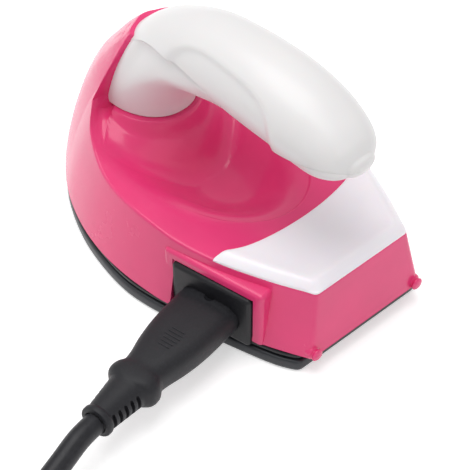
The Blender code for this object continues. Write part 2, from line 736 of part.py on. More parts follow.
def handle_span(share):
    """Heights of the handle's underside and top at a place along the casing."""
    inner = sorted((row[0], row[1]) for row in handle_section_shares)
    outer = sorted((row[2], row[3]) for row in handle_section_shares)
    return IRON_HEIGHT * read(inner, share), IRON_HEIGHT * read(outer, share)


handle = handle_solid("handle", 0.0)
rebate = hood_space("rebate", GAP)
boolean(rebate, handle_solid("core", HOOD_WALL - HOOD_PROUD + GAP, 0.0, OVERRUN))
boolean(handle, rebate)
hollow = handle_solid("hollow", HANDLE_WALL)
floor_cut = upright("floor_cut", SHELL_HALF_WIDTH, STEM_SEAT - OVERRUN, STEM_SEAT + HANDLE_FLOOR,
                    FOOT_MIDDLE, 0.0, WHITE)
boolean(hollow, floor_cut)
boolean(handle, hollow)
for share in cover_screw_shares:
    low, high = handle_span(share)
    post = upright("post", POST_RADIUS, low + POST_BURY, high - POST_BURY, station(share), 0.0, WHITE)
    boolean(handle, post, "UNION")
    hole = upright("hole", SCREW_RADIUS + SCREW_CLEARANCE, low - OVERRUN,
                   low + COVER_SCREW_LENGTH + OVERRUN, station(share), 0.0, WHITE)
    boolean(handle, hole)
    well = upright("well", SCREW_HEAD_RADIUS + SCREW_CLEARANCE, low - OVERRUN, low + COVER_WELL,
                   station(share), 0.0, WHITE)
    boolean(handle, well)
for side in (-1, 1):
    post = upright("post", POST_RADIUS, STEM_SEAT + SMALL_EDGE, STEM_BOSS_TOP, HANDLE_SCREW_X,
                   side * HANDLE_SCREW_Y, WHITE)
    boolean(handle, post, "UNION")
    hole = upright("hole", SCREW_RADIUS + SCREW_CLEARANCE, STEM_SEAT - OVERRUN,
                   STEM_BOSS_TOP - SMALL_EDGE * 2, HANDLE_SCREW_X, side * HANDLE_SCREW_Y, WHITE)
    boolean(handle, hole)
    hole = upright("hole", SCREW_RADIUS + SCREW_CLEARANCE, STEM_SEAT - 3 * SHELL_WALL,
                   STEM_SEAT + OVERRUN, HANDLE_SCREW_X, side * HANDLE_SCREW_Y, PINK)
    boolean(casing, hole)
grip_cover = handle
handle_stem = handle.copy()
handle_stem.data = handle.data.copy()
PARTS.objects.link(handle_stem)
grip_cover.name = "grip_cover"
handle_stem.name = "handle_stem"
boolean(grip_cover, seam_space("seam_space", GAP), "INTERSECT")
boolean(handle_stem, seam_space("seam_space", 0.0))

# Inlet on the left side: its block, the raised bezel round it and its two pins
INLET_MIDDLE_X = station(0.245)
INLET_MIDDLE_Z = SHELL_BOTTOM + INLET_HEIGHT / 2
inlet_out = Vector((-math.sin(INLET_TURN), math.cos(INLET_TURN), 0))
inlet_along = Vector((math.cos(INLET_TURN), math.sin(INLET_TURN), 0))
inlet_face = Vector((INLET_MIDDLE_X, INLET_FACE_Y, INLET_MIDDLE_Z - SOCKET_DROP))


def inlet_place(out, along=0.0, up=0.0):
    """A point measured out of the inlet's face, along it and up from the socket's middle."""
    return inlet_face + inlet_out * out + inlet_along * along + Vector((0, 0, up))


def inlet_box(name, width, depth, height, out, finish, edge=0.0, along=0.0, up=0.0):
    """A block in line with the inlet, whose outer face lies at the given place."""
    return box(name, (width, depth, height), inlet_place(out - depth / 2, along, up + SOCKET_DROP), finish,
               INLET_TURN, edge)


def two_lobes(name, width, height, depth, out, finish, sides=16):
    """A bar of the two-pole section, two rounds joined, whose outer face lies at the given place."""
    radius = height / 2
    ring = []
    reach = width / 2 - radius
    for index in range(sides):
        angle = math.pi * (index / (sides - 1) - 0.5)
        ring.append((reach + radius * math.cos(angle), radius * math.sin(angle)))
    ring += [(-x, -z) for x, z in ring]
    rings = [[inlet_place(at, x, z) for x, z in ring] for at in (out - depth, out)]
    return loft(name, rings, finish)


bezel_height = INLET_HEIGHT + BEZEL_WIDTH
bezel = inlet_box("bezel", INLET_WIDTH + 2 * BEZEL_WIDTH, BEZEL_DEPTH, bezel_height + BEZEL_EDGE,
                  -BEZEL_STEP, PINK, BEZEL_EDGE, 0.0, (BEZEL_WIDTH - BEZEL_EDGE) / 2)
trim = upright("trim", SHELL_LENGTH, SHELL_BOTTOM - OVERRUN * 3, SHELL_BOTTOM + SMALL_EDGE, 0.0, 0.0,
               PINK)
boolean(bezel, trim)
boolean(casing, bezel, "UNION")
inlet_hole = inlet_box("inlet_hole", INLET_WIDTH + 2 * GAP, INLET_DEPTH + INLET_FRONT_ROOM + OVERRUN,
                       INLET_HEIGHT + 2 * GAP + OVERRUN, INLET_FRONT_ROOM, PINK, 0.0, 0.0, -OVERRUN / 2)
boolean(casing, inlet_hole)

inlet = inlet_box("inlet_housing", INLET_WIDTH, INLET_DEPTH, INLET_HEIGHT, 0.0, BLACK, INLET_EDGE)
bpy.context.view_layer.update()
boolean(inlet, two_lobes("socket", OPENING_WIDTH, OPENING_HEIGHT, OPENING_DEPTH + OVERRUN, OVERRUN,
                         BLACK))
contact_sides = (("line", -1), ("neutral", 1))
for pole, side in contact_sides:
    low, high = -INLET_DEPTH - PIN_TAIL, -OPENING_DEPTH + PIN_REACH
    middle = inlet_place((low + high) / 2, side * PIN_SPACING / 2)
    boolean(inlet, cylinder("pin_hole", PIN_RADIUS + GAP, high - low, middle, inlet_out, BLACK, 12))
    cylinder("inlet_pin_" + pole, PIN_RADIUS, high - low, middle, inlet_out, BRASS, 12)


# Cord set: connector with its slotted strain relief, and a contact sleeve round each pin
def sections_along(name, start, out, across, sections, finish, sides=20):
    """A moulded body along a straight axis from rows of distance, width, height and roundness."""
    up = Vector((0, 0, 1))
    rings = []
    for at, width, height, power in sections:
        ring = []
        for index in range(sides):
            angle = math.tau * (index + 0.5) / sides
            c, s = math.cos(angle), math.sin(angle)
            x = math.copysign(abs(c) ** power, c) * width / 2
            z = math.copysign(abs(s) ** power, s) * height / 2
            ring.append(start + out * at + across * x + up * z)
        rings.append(ring)
    return loft(name, rings, finish)


NOSE_WIDTH = OPENING_WIDTH - 2 * CONNECTOR_CLEARANCE
NOSE_HEIGHT = OPENING_HEIGHT - 2 * CONNECTOR_CLEARANCE
NOSE_LENGTH = OPENING_DEPTH - CONNECTOR_CLEARANCE
SLOT_SHARE = 0.55
# Length share of the body, width share of the opening, height share, roundness power
connector_shares = (
    (0.010, 0.965, 0.86, 0.55), (0.10, 0.965, 0.86, 0.55), (0.14, 0.94, 0.94, 0.60),
    (0.45, 0.90, 1.0, 0.60), (0.60, 0.81, 1.0, 0.65), (0.72, 0.70, 0.98, 0.70),
    (0.80, 0.665, 0.96, 0.75), (0.85, 0.73, 0.98, 0.75), (0.89, 0.80, 1.0, 0.70),
    (0.94, 0.80, 1.0, 0.70), (0.98, 0.67, 0.98, 0.80), (1.0, 0.60, 0.96, 0.90),
)
rows = [(at * CONNECTOR_LENGTH, OPENING_WIDTH * width, CONNECTOR_HEIGHT * height, power)
        for at, width, height, power in connector_shares]
relief_end = CONNECTOR_LENGTH + RELIEF_LENGTH
rows.append((relief_end - RELIEF_COLLAR, RELIEF_END, RELIEF_END, 1.0))
rows.append((relief_end - RELIEF_COLLAR, RELIEF_END + SMALL_EDGE * 2, RELIEF_END + SMALL_EDGE, 1.0))
rows.append((relief_end, RELIEF_END + SMALL_EDGE * 2, RELIEF_END + SMALL_EDGE, 1.0))
connector = sections_along("cord_connector", inlet_face, inlet_out, inlet_along, rows, CORD_BLACK)
nose = two_lobes("nose", NOSE_WIDTH, NOSE_HEIGHT, NOSE_LENGTH + OVERRUN, OVERRUN, CORD_BLACK)
boolean(connector, nose, "UNION")
for pole, side in contact_sides:
    bore_radius = PIN_RADIUS + CONTACT_WALL + 2 * GAP
    middle = inlet_place(-NOSE_LENGTH + (BORE_DEPTH - OVERRUN) / 2, side * PIN_SPACING / 2)
    boolean(connector, cylinder("bore", bore_radius, BORE_DEPTH + OVERRUN, middle, inlet_out,
                                CORD_BLACK, 12))
    sleeve_length = BORE_DEPTH - 2 * CONNECTOR_CLEARANCE
    middle = inlet_place(-NOSE_LENGTH + CONNECTOR_CLEARANCE + sleeve_length / 2,
                         side * PIN_SPACING / 2)
    sleeve = cylinder("contact_" + pole, PIN_RADIUS + GAP + CONTACT_WALL, sleeve_length, middle,
                      inlet_out, BRASS, 12)
    boolean(sleeve, cylinder("contact_bore", PIN_RADIUS + GAP, sleeve_length + OVERRUN, middle,
                             inlet_out, BRASS, 12))
SLOTS = 5
for index in range(SLOTS):
    at = CONNECTOR_LENGTH + (RELIEF_LENGTH - RELIEF_COLLAR) * (index + 0.5) / SLOTS
    for side in (-1, 1):
        middle = inlet_place(at, side * (RELIEF_WIDTH / 2 - SLOT_DEPTH / 2 + SLOT_STEP * (1 - index)))
        boolean(connector, box("slot", (SLOT_DEPTH + OVERRUN, SLOT_WIDTH, CONNECTOR_HEIGHT * SLOT_SHARE),
                               middle, CORD_BLACK, INLET_TURN))

# Heating element clamped on the soleplate
HEATER_LOW = SOLE_THICKNESS + GAP
CLAMP_LOW = SOLE_BOSS_TOP + GAP
CLAMP_TOP = CLAMP_LOW + CLAMP_HEIGHT
heater = box("heating_element", (HEATER_LENGTH, HEATER_WIDTH, HEATER_HEIGHT),
             (HEATER_X, 0, HEATER_LOW + HEATER_HEIGHT / 2), CERAMIC, 0.0, SMALL_EDGE)
clamp = box("heater_clamp_plate", (CLAMP_LENGTH, CLAMP_WIDTH, CLAMP_HEIGHT),
            (HEATER_X, 0, CLAMP_LOW + CLAMP_HEIGHT / 2), STEEL)
for side, pole in ((-1, "live"), (1, "return")):
    box("heater_tab_" + pole, (TAB_LENGTH, TAB_WIDTH, TAB_HEIGHT),
        (HEATER_X + (HEATER_LENGTH + TAB_LENGTH) / 2 + GAP, side * TAB_Y, HEATER_LOW + HEATER_HEIGHT / 2),
        BRASS)


def screw(name, x, y, seat, length, upside_down=False):
    """A round-headed screw whose head rests on a seat, with a slot in its head."""
    way = 1 if upside_down else -1
    shaft_ends = sorted((seat + way * length, seat - way * SMALL_EDGE))
    shaft = upright(name, SCREW_RADIUS, *shaft_ends, x, y, STEEL, 16)
    head_ends = sorted((seat - way * GAP, seat - way * (SCREW_HEAD_HEIGHT + GAP)))
    boolean(shaft, upright("head", SCREW_HEAD_RADIUS, *head_ends, x, y, STEEL, 16), "UNION")
    slot_z = seat - way * (SCREW_HEAD_HEIGHT + GAP)
    boolean(shaft, box("slot", (SCREW_HEAD_RADIUS * 3, SLOT_WIDTH, SMALL_EDGE * 2), (x, y, slot_z), STEEL))
    return shaft


for side, place in ((-1, "rear"), (1, "front")):
    x = HEATER_X + side * CLAMP_SCREW_REACH
    boolean(clamp, upright("hole", SCREW_RADIUS + SCREW_CLEARANCE, CLAMP_LOW - OVERRUN,
                           CLAMP_TOP + OVERRUN, x, 0.0, STEEL))
    screw("heater_screw_" + place, x, 0.0, CLAMP_TOP, CLAMP_TOP - SOLE_SCREW_END - GAP)
for place, x, y, top in sole_screw_places:
    screw("sole_screw_" + place, x, y, top, top - SOLE_SCREW_END - GAP)
SEAT_UNDERSIDE = STEM_SEAT - SHELL_WALL - GAP
for side, place in ((-1, "right"), (1, "left")):
    screw("handle_screw_" + place, HANDLE_SCREW_X, side * HANDLE_SCREW_Y, SEAT_UNDERSIDE,
          STEM_BOSS_TOP - SMALL_EDGE * 3 - SEAT_UNDERSIDE, True)
for share, place in zip(cover_screw_shares, ("rear", "front")):
    seat = handle_span(share)[0] + COVER_WELL
    screw("cover_screw_" + place, station(share), 0.0, seat, COVER_SCREW_LENGTH - COVER_WELL, True)

# Thermostat on the soleplate beside the element
THERMOSTAT_X = station(0.387)
THERMOSTAT_Y = -SHELL_HALF_WIDTH * THERMOSTAT_SHARE
THERMOSTAT_TOP = HEATER_LOW + THERMOSTAT_HEIGHT
thermostat = upright("thermostat", THERMOSTAT_RADIUS, HEATER_LOW, THERMOSTAT_TOP, THERMOSTAT_X,
                     THERMOSTAT_Y, CERAMIC, 28)
rim = upright("rim", THERMOSTAT_RADIUS + SMALL_EDGE, HEATER_LOW, HEATER_LOW + THERMOSTAT_HEIGHT / 4,
              THERMOSTAT_X, THERMOSTAT_Y, CERAMIC, 28)
boolean(thermostat, rim, "UNION")
THERMOSTAT_TAB_Z = THERMOSTAT_TOP + GAP + TAB_HEIGHT / 2
for side, place in ((-1, "rear"), (1, "front")):
    box("thermostat_tab_" + place, (TAB_LENGTH, TAB_WIDTH, TAB_HEIGHT),
        (THERMOSTAT_X + side * THERMOSTAT_TAB_REACH, THERMOSTAT_Y, THERMOSTAT_TAB_Z), BRASS)

# Thermal fuse in its clip on the clamp plate
FUSE_Z = CLAMP_TOP + GAP + CLIP_WALL + GAP + FUSE_RADIUS
fuse = cylinder("thermal_fuse", FUSE_RADIUS, FUSE_LENGTH, (HEATER_X, 0, FUSE_Z), (1, 0, 0), MICA, 16)
clip_radius = FUSE_RADIUS + GAP
clip = cylinder("fuse_clip", clip_radius + CLIP_WALL, CLIP_LENGTH, (HEATER_X, 0, FUSE_Z), (1, 0, 0), STEEL)
boolean(clip, cylinder("bore", clip_radius, CLIP_LENGTH + OVERRUN, (HEATER_X, 0, FUSE_Z), (1, 0, 0), STEEL))
boolean(clip, box("clip_gap", (CLIP_LENGTH + OVERRUN, FUSE_RADIUS, clip_radius * 2),
                  (HEATER_X, 0, FUSE_Z + clip_radius), STEEL))


def lead(name, points, radius, finish, sides=2):
    """A wire or cord along chosen points, as a curve with filled ends."""
    curve = bpy.data.curves.new(name, "CURVE")
    curve.dimensions = "3D"
    curve.bevel_depth = radius
    curve.bevel_resolution = sides
    curve.use_fill_caps = True
    spline = curve.splines.new("POLY")
    spline.points.add(len(points) - 1)
    for place, point in zip(spline.points, points):
        place.co = (*point, 1.0)
    made = bpy.data.objects.new(name, curve)
    curve.materials.append(finish)
    PARTS.objects.link(made)
    return made


# Inner leads, routed by hand. Their points are measured from the middles of the inlet, the thermostat
# and the heater, and from the thermostat's side of the iron
LEAD_STEPS = 2


def beside(x, y, z):
    """A function for points measured from a place."""
    return lambda along, across, up: Vector((x + along, y + across, z + up))


pin_end = -INLET_DEPTH - PIN_TAIL - GAP
tab_end = THERMOSTAT_TAB_REACH + TAB_LENGTH / 2 + GAP
heater_tab_end = HEATER_LENGTH / 2 + TAB_LENGTH + 2 * GAP
fuse_end = FUSE_LENGTH / 2 + GAP
by_inlet = beside(INLET_MIDDLE_X, 0, CLAMP_TOP)
by_thermostat = beside(THERMOSTAT_X, THERMOSTAT_Y, CLAMP_TOP)
by_tab = beside(THERMOSTAT_X, THERMOSTAT_Y, THERMOSTAT_TAB_Z)
by_fuse = beside(HEATER_X, 0, FUSE_Z)
by_heater = beside(HEATER_X, 0, HEATER_LOW + HEATER_HEIGHT / 2)
lead_routes = {
    "lead_inlet_to_thermostat": (
        inlet_place(pin_end, -PIN_SPACING / 2), inlet_place(pin_end - PIN_LEAD_RUN, -PIN_SPACING / 2),
        by_inlet(*LEAD_BEND_A), by_thermostat(*LEAD_BEND_B), by_tab(*LEAD_BEND_C),
        by_tab(-tab_end - TAB_LEAD_RUN, 0, 0), by_tab(-tab_end, 0, 0),
    ),
    "lead_thermostat_to_fuse": (
        by_tab(tab_end, 0, 0), by_tab(tab_end + TAB_LEAD_RUN, 0, 0), by_thermostat(*LEAD_BEND_D),
        by_thermostat(*LEAD_BEND_E), by_fuse(*LEAD_BEND_F), by_fuse(*LEAD_BEND_G), by_fuse(*LEAD_BEND_H),
        by_fuse(-fuse_end, 0, 0),
    ),
    "lead_fuse_to_heater": (
        by_fuse(fuse_end, 0, 0), by_fuse(*LEAD_BEND_I), by_fuse(*LEAD_BEND_J), by_fuse(*LEAD_BEND_K),
        by_heater(*LEAD_BEND_L), by_heater(*LEAD_BEND_M),
        by_heater(heater_tab_end + HEATER_LEAD_RUN, -TAB_Y, 0), by_heater(heater_tab_end, -TAB_Y, 0),
    ),
    "lead_heater_to_inlet": (
        by_heater(heater_tab_end, TAB_Y, 0), by_heater(heater_tab_end + HEATER_LEAD_RUN, TAB_Y, 0),
        by_heater(*LEAD_BEND_N), by_heater(*LEAD_BEND_O), by_fuse(*LEAD_BEND_P), by_fuse(*LEAD_BEND_Q),
        by_inlet(*LEAD_BEND_R), inlet_place(pin_end - INLET_LEAD_RUN, PIN_SPACING / 2),
        inlet_place(pin_end, PIN_SPACING / 2),
    ),
}
for name, chosen in lead_routes.items():
    lead(name, curve_through(chosen, LEAD_STEPS), LEAD_RADIUS, SLEEVE)

# Cord: out of the relief, down to the surface and on to the coil. Its chosen points are measured
# from the middle of the inlet's face, along X and Y, and from the surface
CORD_RADIUS = CORD_DIAMETER / 2
COIL_TURNS_IN = 4.0
COIL_TURNS_OUT = 3.25
COIL_POINTS = 24
COIL_PITCH = CORD_DIAMETER + COIL_TURN_GAP
COIL_INNER = COIL_DIAMETERS * CORD_DIAMETER - COIL_TURNS_IN / 2 * COIL_PITCH
COIL_LOW = CORD_RADIUS + TIE_WALL + GAP
COIL_START_ANGLE = math.radians(165)
coil_centre = Vector((inlet_face.x + COIL_ALONG, inlet_face.y + COIL_OUT, 0))
cord_start = inlet_place(relief_end + GAP)


def by_face(along, out, height):
    return Vector((inlet_face.x + along, inlet_face.y + out, height))


def coil_point(turn):
    """A point of the coil's middle line: the turn count runs from minus the turns in, through the
    climb at zero, to the turns out."""
    angle = COIL_START_ANGLE - math.tau * (turn + COIL_TURNS_IN)
    radius = COIL_INNER + COIL_PITCH * abs(turn)
    height = COIL_LOW + COIL_PITCH * smooth(0.5 + 2 * turn)
    return coil_centre + Vector((radius * math.cos(angle), radius * math.sin(angle), height))


coil_count = round((COIL_TURNS_IN + COIL_TURNS_OUT) * COIL_POINTS)
coil_line = [coil_point(-COIL_TURNS_IN + index / COIL_POINTS) for index in range(coil_count + 1)]
entry = (coil_line[1] - coil_line[0]).normalized()
leaving = (coil_line[-1] - coil_line[-2]).normalized()
coil_line.insert(0, coil_line[0] - entry * CORD_DIAMETER)
coil_line.append(coil_line[-1] + leaving * CORD_DIAMETER)
coil = lead("cord_coil", coil_line, CORD_RADIUS, CORD_BLACK, 1)

free_end = coil_line[0] - entry * GAP
free_points = [cord_start, cord_start + inlet_out * CORD_DIAMETER]
free_points += [by_face(*place) for place in cord_places]
free_points += [free_end - entry * CORD_DIAMETER, free_end]
cord = lead("cord", free_points, CORD_RADIUS, CORD_BLACK)

# The cord's tail, round the coil's outside and down, to the plug
PLUG_ANGLE = math.radians(-4)
PLUG_TURN = math.radians(8)
plug_heading = PLUG_ANGLE - math.radians(90) + PLUG_TURN
plug_out = Vector((math.cos(plug_heading), math.sin(plug_heading), 0))
plug_across = Vector((-plug_out.y, plug_out.x, 0))
plug_start = coil_centre + Vector((PLUG_DISTANCE * math.cos(PLUG_ANGLE),
                                   PLUG_DISTANCE * math.sin(PLUG_ANGLE), PLUG_AXIS_HEIGHT))
tail_start = coil_line[-1] + leaving * GAP
tail_points = [tail_start, tail_start + leaving * CORD_DIAMETER]
for degrees, distance, height in tail_stations:
    angle = math.radians(degrees)
    tail_points.append(coil_centre + Vector((distance * math.cos(angle), distance * math.sin(angle), height)))
tail_points.append(plug_start - plug_out * GAP)
tail = lead("cord_tail", tail_points, CORD_RADIUS, CORD_BLACK)


def line_length(points):
    return sum((b - a).length for a, b in zip(points, points[1:]))


print("cord length", line_length(free_points) + line_length(coil_line) + line_length(tail_points))


def least_distance(first, second, apart):
    """Least distance between two lines' points, or within one line past a stretch along it."""
    best = math.inf
    for i, a in enumerate(first):
        for j, b in enumerate(second):
            if first is not second or abs(i - j) > apart:
                best = min(best, (a - b).length)
    return best


skip = COIL_POINTS // 2
coil_gap = least_distance(coil_line, coil_line, skip) - CORD_DIAMETER
print("least gap in the coil", coil_gap)
print("least gap of the tail to the coil", least_distance(tail_points[2:], coil_line, 0) - CORD_DIAMETER)

# A tie round the coil
TIE_ANGLE = math.radians(255)
tie_turn = ((COIL_START_ANGLE - TIE_ANGLE) / math.tau) % 1
low_radius = COIL_INNER + COIL_PITCH * (1 - tie_turn) - CORD_RADIUS - TIE_ROOM
high_radius = COIL_INNER + COIL_PITCH * (COIL_TURNS_IN - tie_turn) + CORD_RADIUS + TIE_ROOM
tie_height = COIL_LOW + COIL_PITCH + CORD_RADIUS + TIE_ROOM
tie_middle = (low_radius + high_radius) / 2
tie_place = coil_centre + Vector((math.cos(TIE_ANGLE), math.sin(TIE_ANGLE), 0)) * tie_middle
tie = box("cord_tie", (high_radius - low_radius + 2 * TIE_WALL, TIE_WIDTH, tie_height + TIE_WALL),
          tie_place + Vector((0, 0, (tie_height + TIE_WALL) / 2)), CORD_BLACK, TIE_ANGLE)
bpy.context.view_layer.update()
boolean(tie, box("tie_space", (high_radius - low_radius, TIE_WIDTH + OVERRUN, tie_height - TIE_WALL),
                 tie_place + Vector((0, 0, (tie_height + TIE_WALL) / 2)), CORD_BLACK, TIE_ANGLE))

# Mains plug, a plain flat two-pin one
# Length share, width share, height share, roundness power
plug_shares = (
    (0.0, 0.27, 0.52, 1.0), (0.04, 0.29, 0.56, 1.0), (0.30, 0.33, 0.64, 0.90), (0.40, 0.52, 0.80, 0.70),
    (0.52, 0.80, 0.94, 0.60), (0.64, 0.96, 1.0, 0.55), (0.90, 1.0, 1.0, 0.50), (0.97, 0.99, 0.98, 0.50),
    (1.0, 0.95, 0.90, 0.50),
)
plug_rows = [(at * PLUG_LENGTH, PLUG_WIDTH * width, PLUG_HEIGHT * height, power)
             for at, width, height, power in plug_shares]
plug = sections_along("mains_plug", plug_start, plug_out, plug_across, plug_rows, CORD_BLACK, 24)
for side, place in ((-1, "left"), (1, "right")):
    root = plug_start + plug_across * (side * PLUG_PIN_SPACING / 2)
    whole = PLUG_PIN_LENGTH + PLUG_PIN_ROOT
    hole_middle = root + plug_out * (PLUG_LENGTH - PLUG_PIN_ROOT / 2)
    boolean(plug, cylinder("pin_hole", PLUG_PIN_RADIUS + GAP, PLUG_PIN_ROOT + OVERRUN * 2,
                           hole_middle + plug_out * OVERRUN, plug_out, CORD_BLACK, 16))
    cylinder("plug_pin_" + place, PLUG_PIN_RADIUS, whole, root + plug_out * (PLUG_LENGTH - PLUG_PIN_ROOT
             + whole / 2 + GAP), plug_out, STEEL, 16)

# The cord set slides straight out of the inlet
cord_set = bpy.data.objects.new("cord_set", None)
cord_set.location = inlet_face
PARTS.objects.link(cord_set)
bpy.context.view_layer.update()
for name in ("cord_connector", "contact_line", "contact_neutral", "cord", "cord_coil", "cord_tail",
             "cord_tie", "mains_plug", "plug_pin_left", "plug_pin_right"):
    piece = bpy.data.objects[name]
    piece.parent = cord_set
    piece.matrix_parent_inverse = cord_set.matrix_world.inverted()

# Round surfaces are smooth, and their edges stay sharp
SHARP_ANGLE = math.radians(35)
for piece in PARTS.objects:
    if piece.type == "MESH":
        piece.data.shade_smooth()
        piece.data.set_sharp_from_angle(angle=SHARP_ANGLE)
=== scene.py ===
"""Mini travel iron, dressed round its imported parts. Metres, +Z up, +X to the nose."""
import math

import bmesh
import bpy
from mathutils import Matrix, Vector


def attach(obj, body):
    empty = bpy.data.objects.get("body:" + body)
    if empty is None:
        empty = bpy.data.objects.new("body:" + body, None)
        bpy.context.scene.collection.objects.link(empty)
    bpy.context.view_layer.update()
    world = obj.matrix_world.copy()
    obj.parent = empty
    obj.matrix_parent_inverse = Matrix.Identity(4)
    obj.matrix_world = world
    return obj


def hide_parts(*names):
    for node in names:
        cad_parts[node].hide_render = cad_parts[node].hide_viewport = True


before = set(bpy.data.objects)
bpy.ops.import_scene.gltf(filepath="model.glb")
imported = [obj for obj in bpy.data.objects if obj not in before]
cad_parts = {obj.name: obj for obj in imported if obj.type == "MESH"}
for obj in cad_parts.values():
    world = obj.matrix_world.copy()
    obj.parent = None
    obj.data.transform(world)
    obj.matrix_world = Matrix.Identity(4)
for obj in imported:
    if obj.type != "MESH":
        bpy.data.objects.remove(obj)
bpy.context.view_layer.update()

bl_info = {
    "name": "Mini travel iron",
    "version": (1, 0, 0),
    "blender": (4, 5, 0),
    "location": "View3D > Sidebar > Iron",
    "description": "Builds a mini travel iron, piece by piece, round its packed parts",
    "category": "Add Mesh",
}

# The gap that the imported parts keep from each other, and where the casing's heel and bottom lie
GAP = 0.0003
REAR_X = -0.05135
CASING_LENGTH = 0.1034
CASING_BOTTOM = 0.0054
FULL_TURN = math.tau
SIDES = (-1, 1)


def thousandths(*rows):
    """Rows of shares, written in thousandths of the sizes that they follow."""
    return [tuple(value / 1000 for value in row) for row in rows]


# Outlines: length share against half width share, heel to nose
sole_outline = thousandths(
    (0, 604), (56, 695), (165, 801), (285, 903), (404, 985), (503, 1000), (623, 940), (722, 843),
    (822, 692), (901, 514), (961, 329), (991, 148), (1000, 0))
shell_outline = thousandths(
    (0, 565), (21, 598), (62, 660), (124, 744), (232, 866), (356, 963), (426, 991), (503, 1000),
    (580, 982), (658, 933), (735, 850), (812, 730), (890, 552), (948, 377), (988, 172), (1000, 0))
# Height share of the iron against length share of the casing, along the nose
nose_profile = thousandths(
    (0, 1000), (79, 1000), (175, 992), (292, 973), (439, 937), (556, 895), (627, 859), (737, 799),
    (826, 737), (892, 679), (1000, 560))
# Length share against height share of the casing wall's top edge
crease_line = thousandths(
    (0, 346), (300, 351), (480, 371), (600, 373), (660, 382), (710, 398), (760, 417), (800, 440),
    (830, 470))
# The hood's back edge, seen from the side: height share against length share
hood_edge = thousandths(
    (380, 816), (439, 803), (482, 791), (567, 776), (687, 750), (790, 730), (850, 714), (885, 694),
    (930, 682), (1020, 670))
# Inner point, outer point, half width and ridge place of each handle section, foot to tail
handle_rows = thousandths(
    (633, 453, 905, 453, 975, 1000), (622, 526, 877, 534, 970, 1000),
    (590, 614, 832, 636, 955, 930), (542, 670, 770, 753, 945, 760),
    (484, 690, 688, 868, 949, 560), (426, 693, 566, 959, 966, 30),
    (358, 687, 445, 993, 983, -370), (285, 684, 309, 1000, 1000, -450),
    (198, 680, 193, 974, 966, -360), (126, 687, 106, 924, 839, -110),
    (79, 709, 61, 877, 644, 40), (50, 743, 40, 830, 373, 0))


def length(name, description, default):
    return bpy.props.FloatProperty(
        name=name, description=description, default=default, unit="LENGTH")


def shade(name, description, default):
    return bpy.props.FloatVectorProperty(
        name=name, description=description, default=default, subtype="COLOR", size=3)


class IronSizes(bpy.types.PropertyGroup):
    """Sizes of the iron's body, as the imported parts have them."""

    shell_length: length("Casing length", "Length of the casing at its bottom edge", CASING_LENGTH)
    shell_half_width: length("Casing half width", "Half of the casing's widest place", 0.0326)
    shell_bottom: length("Casing bottom", "Height of the casing's bottom edge", CASING_BOTTOM)
    heel_top: length("Heel height", "Height of the casing's heel", 0.0237)
    iron_height: length("Iron height", "Height of the handle's top", 0.0684)
    stem_seat: length("Stem seat", "Height at which the stem stands on the casing", 0.0310)
    dish_depth: length("Dish depth", "Depth of the finger dish under the handle", 0.0100)
    crease_radius: length("Crease radius", "Rounding along the casing wall's top edge", 0.0007)
    sole_length: length("Sole length", "Length of the soleplate", 0.1005)
    sole_half_width: length("Sole half width", "Half of the soleplate's widest place", 0.0331)
    handle_half_width: length("Handle half width", "Half of the handle's widest place", 0.0118)
    cord_diameter: length("Cord diameter", "Diameter of the cord", 0.0056)


class IronColours(bpy.types.PropertyGroup):
    """Colours of the iron's finishes."""

    casing: shade("Casing", "Gloss pink of the casing", (0.755, 0.042, 0.178))
    handle: shade("Handle", "White of the handle", (0.750, 0.735, 0.735))
    cap: shade("Rear cap", "Milky white of the rear cap", (0.880, 0.845, 0.890))
    inlet: shade("Inlet", "Black of the inlet", (0.008, 0.008, 0.010))
    cord: shade("Cord", "Black of the cord and its mouldings", (0.014, 0.014, 0.017))
    sole: shade("Soleplate", "Dark grey of the soleplate's coating", (0.020, 0.022, 0.026))


# Small tools of the bench
def sizes():
    return bpy.context.scene.iron_sizes


def station(share):
    """The X of a place given as a share of the casing's length from its heel."""
    return REAR_X + share * sizes().shell_length


def ease(value):
    """Eases from 0 to 1."""
    value = min(1.0, max(0.0, value))
    return value * value * (3 - 2 * value)


def power(value, exponent):
    """A power that keeps the value's sign."""
    return math.copysign(abs(value) ** exponent, value)


def polar(distance, angle, height=0.0):
    """A vector by its distance from an upright axis, its angle round it and its height."""
    return Vector((distance * math.cos(angle), distance * math.sin(angle), height))


def bend(a, b, c, t):
    """A point of the rounded corner that runs from a to c beside b."""
    return a * (1 - t) ** 2 + b * 2 * t * (1 - t) + c * t * t


def flow(table, at):
    """Smooth reading of a table of pairs, without overshoot at its ends."""
    if at <= table[0][0]:
        return table[0][1]
    slopes = []
    for index in range(len(table)):
        before = table[max(0, index - 1)]
        after = table[min(len(table) - 1, index + 1)]
        slopes.append((after[1] - before[1]) / (after[0] - before[0]))
    for index in range(len(table) - 1):
        (x0, y0), (x1, y1) = table[index], table[index + 1]
        if at <= x1:
            span = x1 - x0
            t = (at - x0) / span
            return ((1 + 2 * t) * (1 - t) ** 2 * y0 + t * (1 - t) ** 2 * span * slopes[index]
                    + t * t * (3 - 2 * t) * y1 - t * t * (1 - t) * span * slopes[index + 1])
    return table[-1][1]


def curve_through(points, steps):
    """A smooth line through chosen points, with the given steps between each two."""
    line = []
    padded = [points[0], *points, points[-1]]
    for a, b, c, d in zip(padded, padded[1:], padded[2:], padded[3:]):
        for step in range(steps):
            t = step / steps
            line.append(b + t * 0.5 * (c - a) + t ** 2 * (a - 2.5 * b + 2 * c - 0.5 * d)
                        + t ** 3 * 0.5 * (3 * b - a - 3 * c + d))
    line.append(points[-1])
    return line


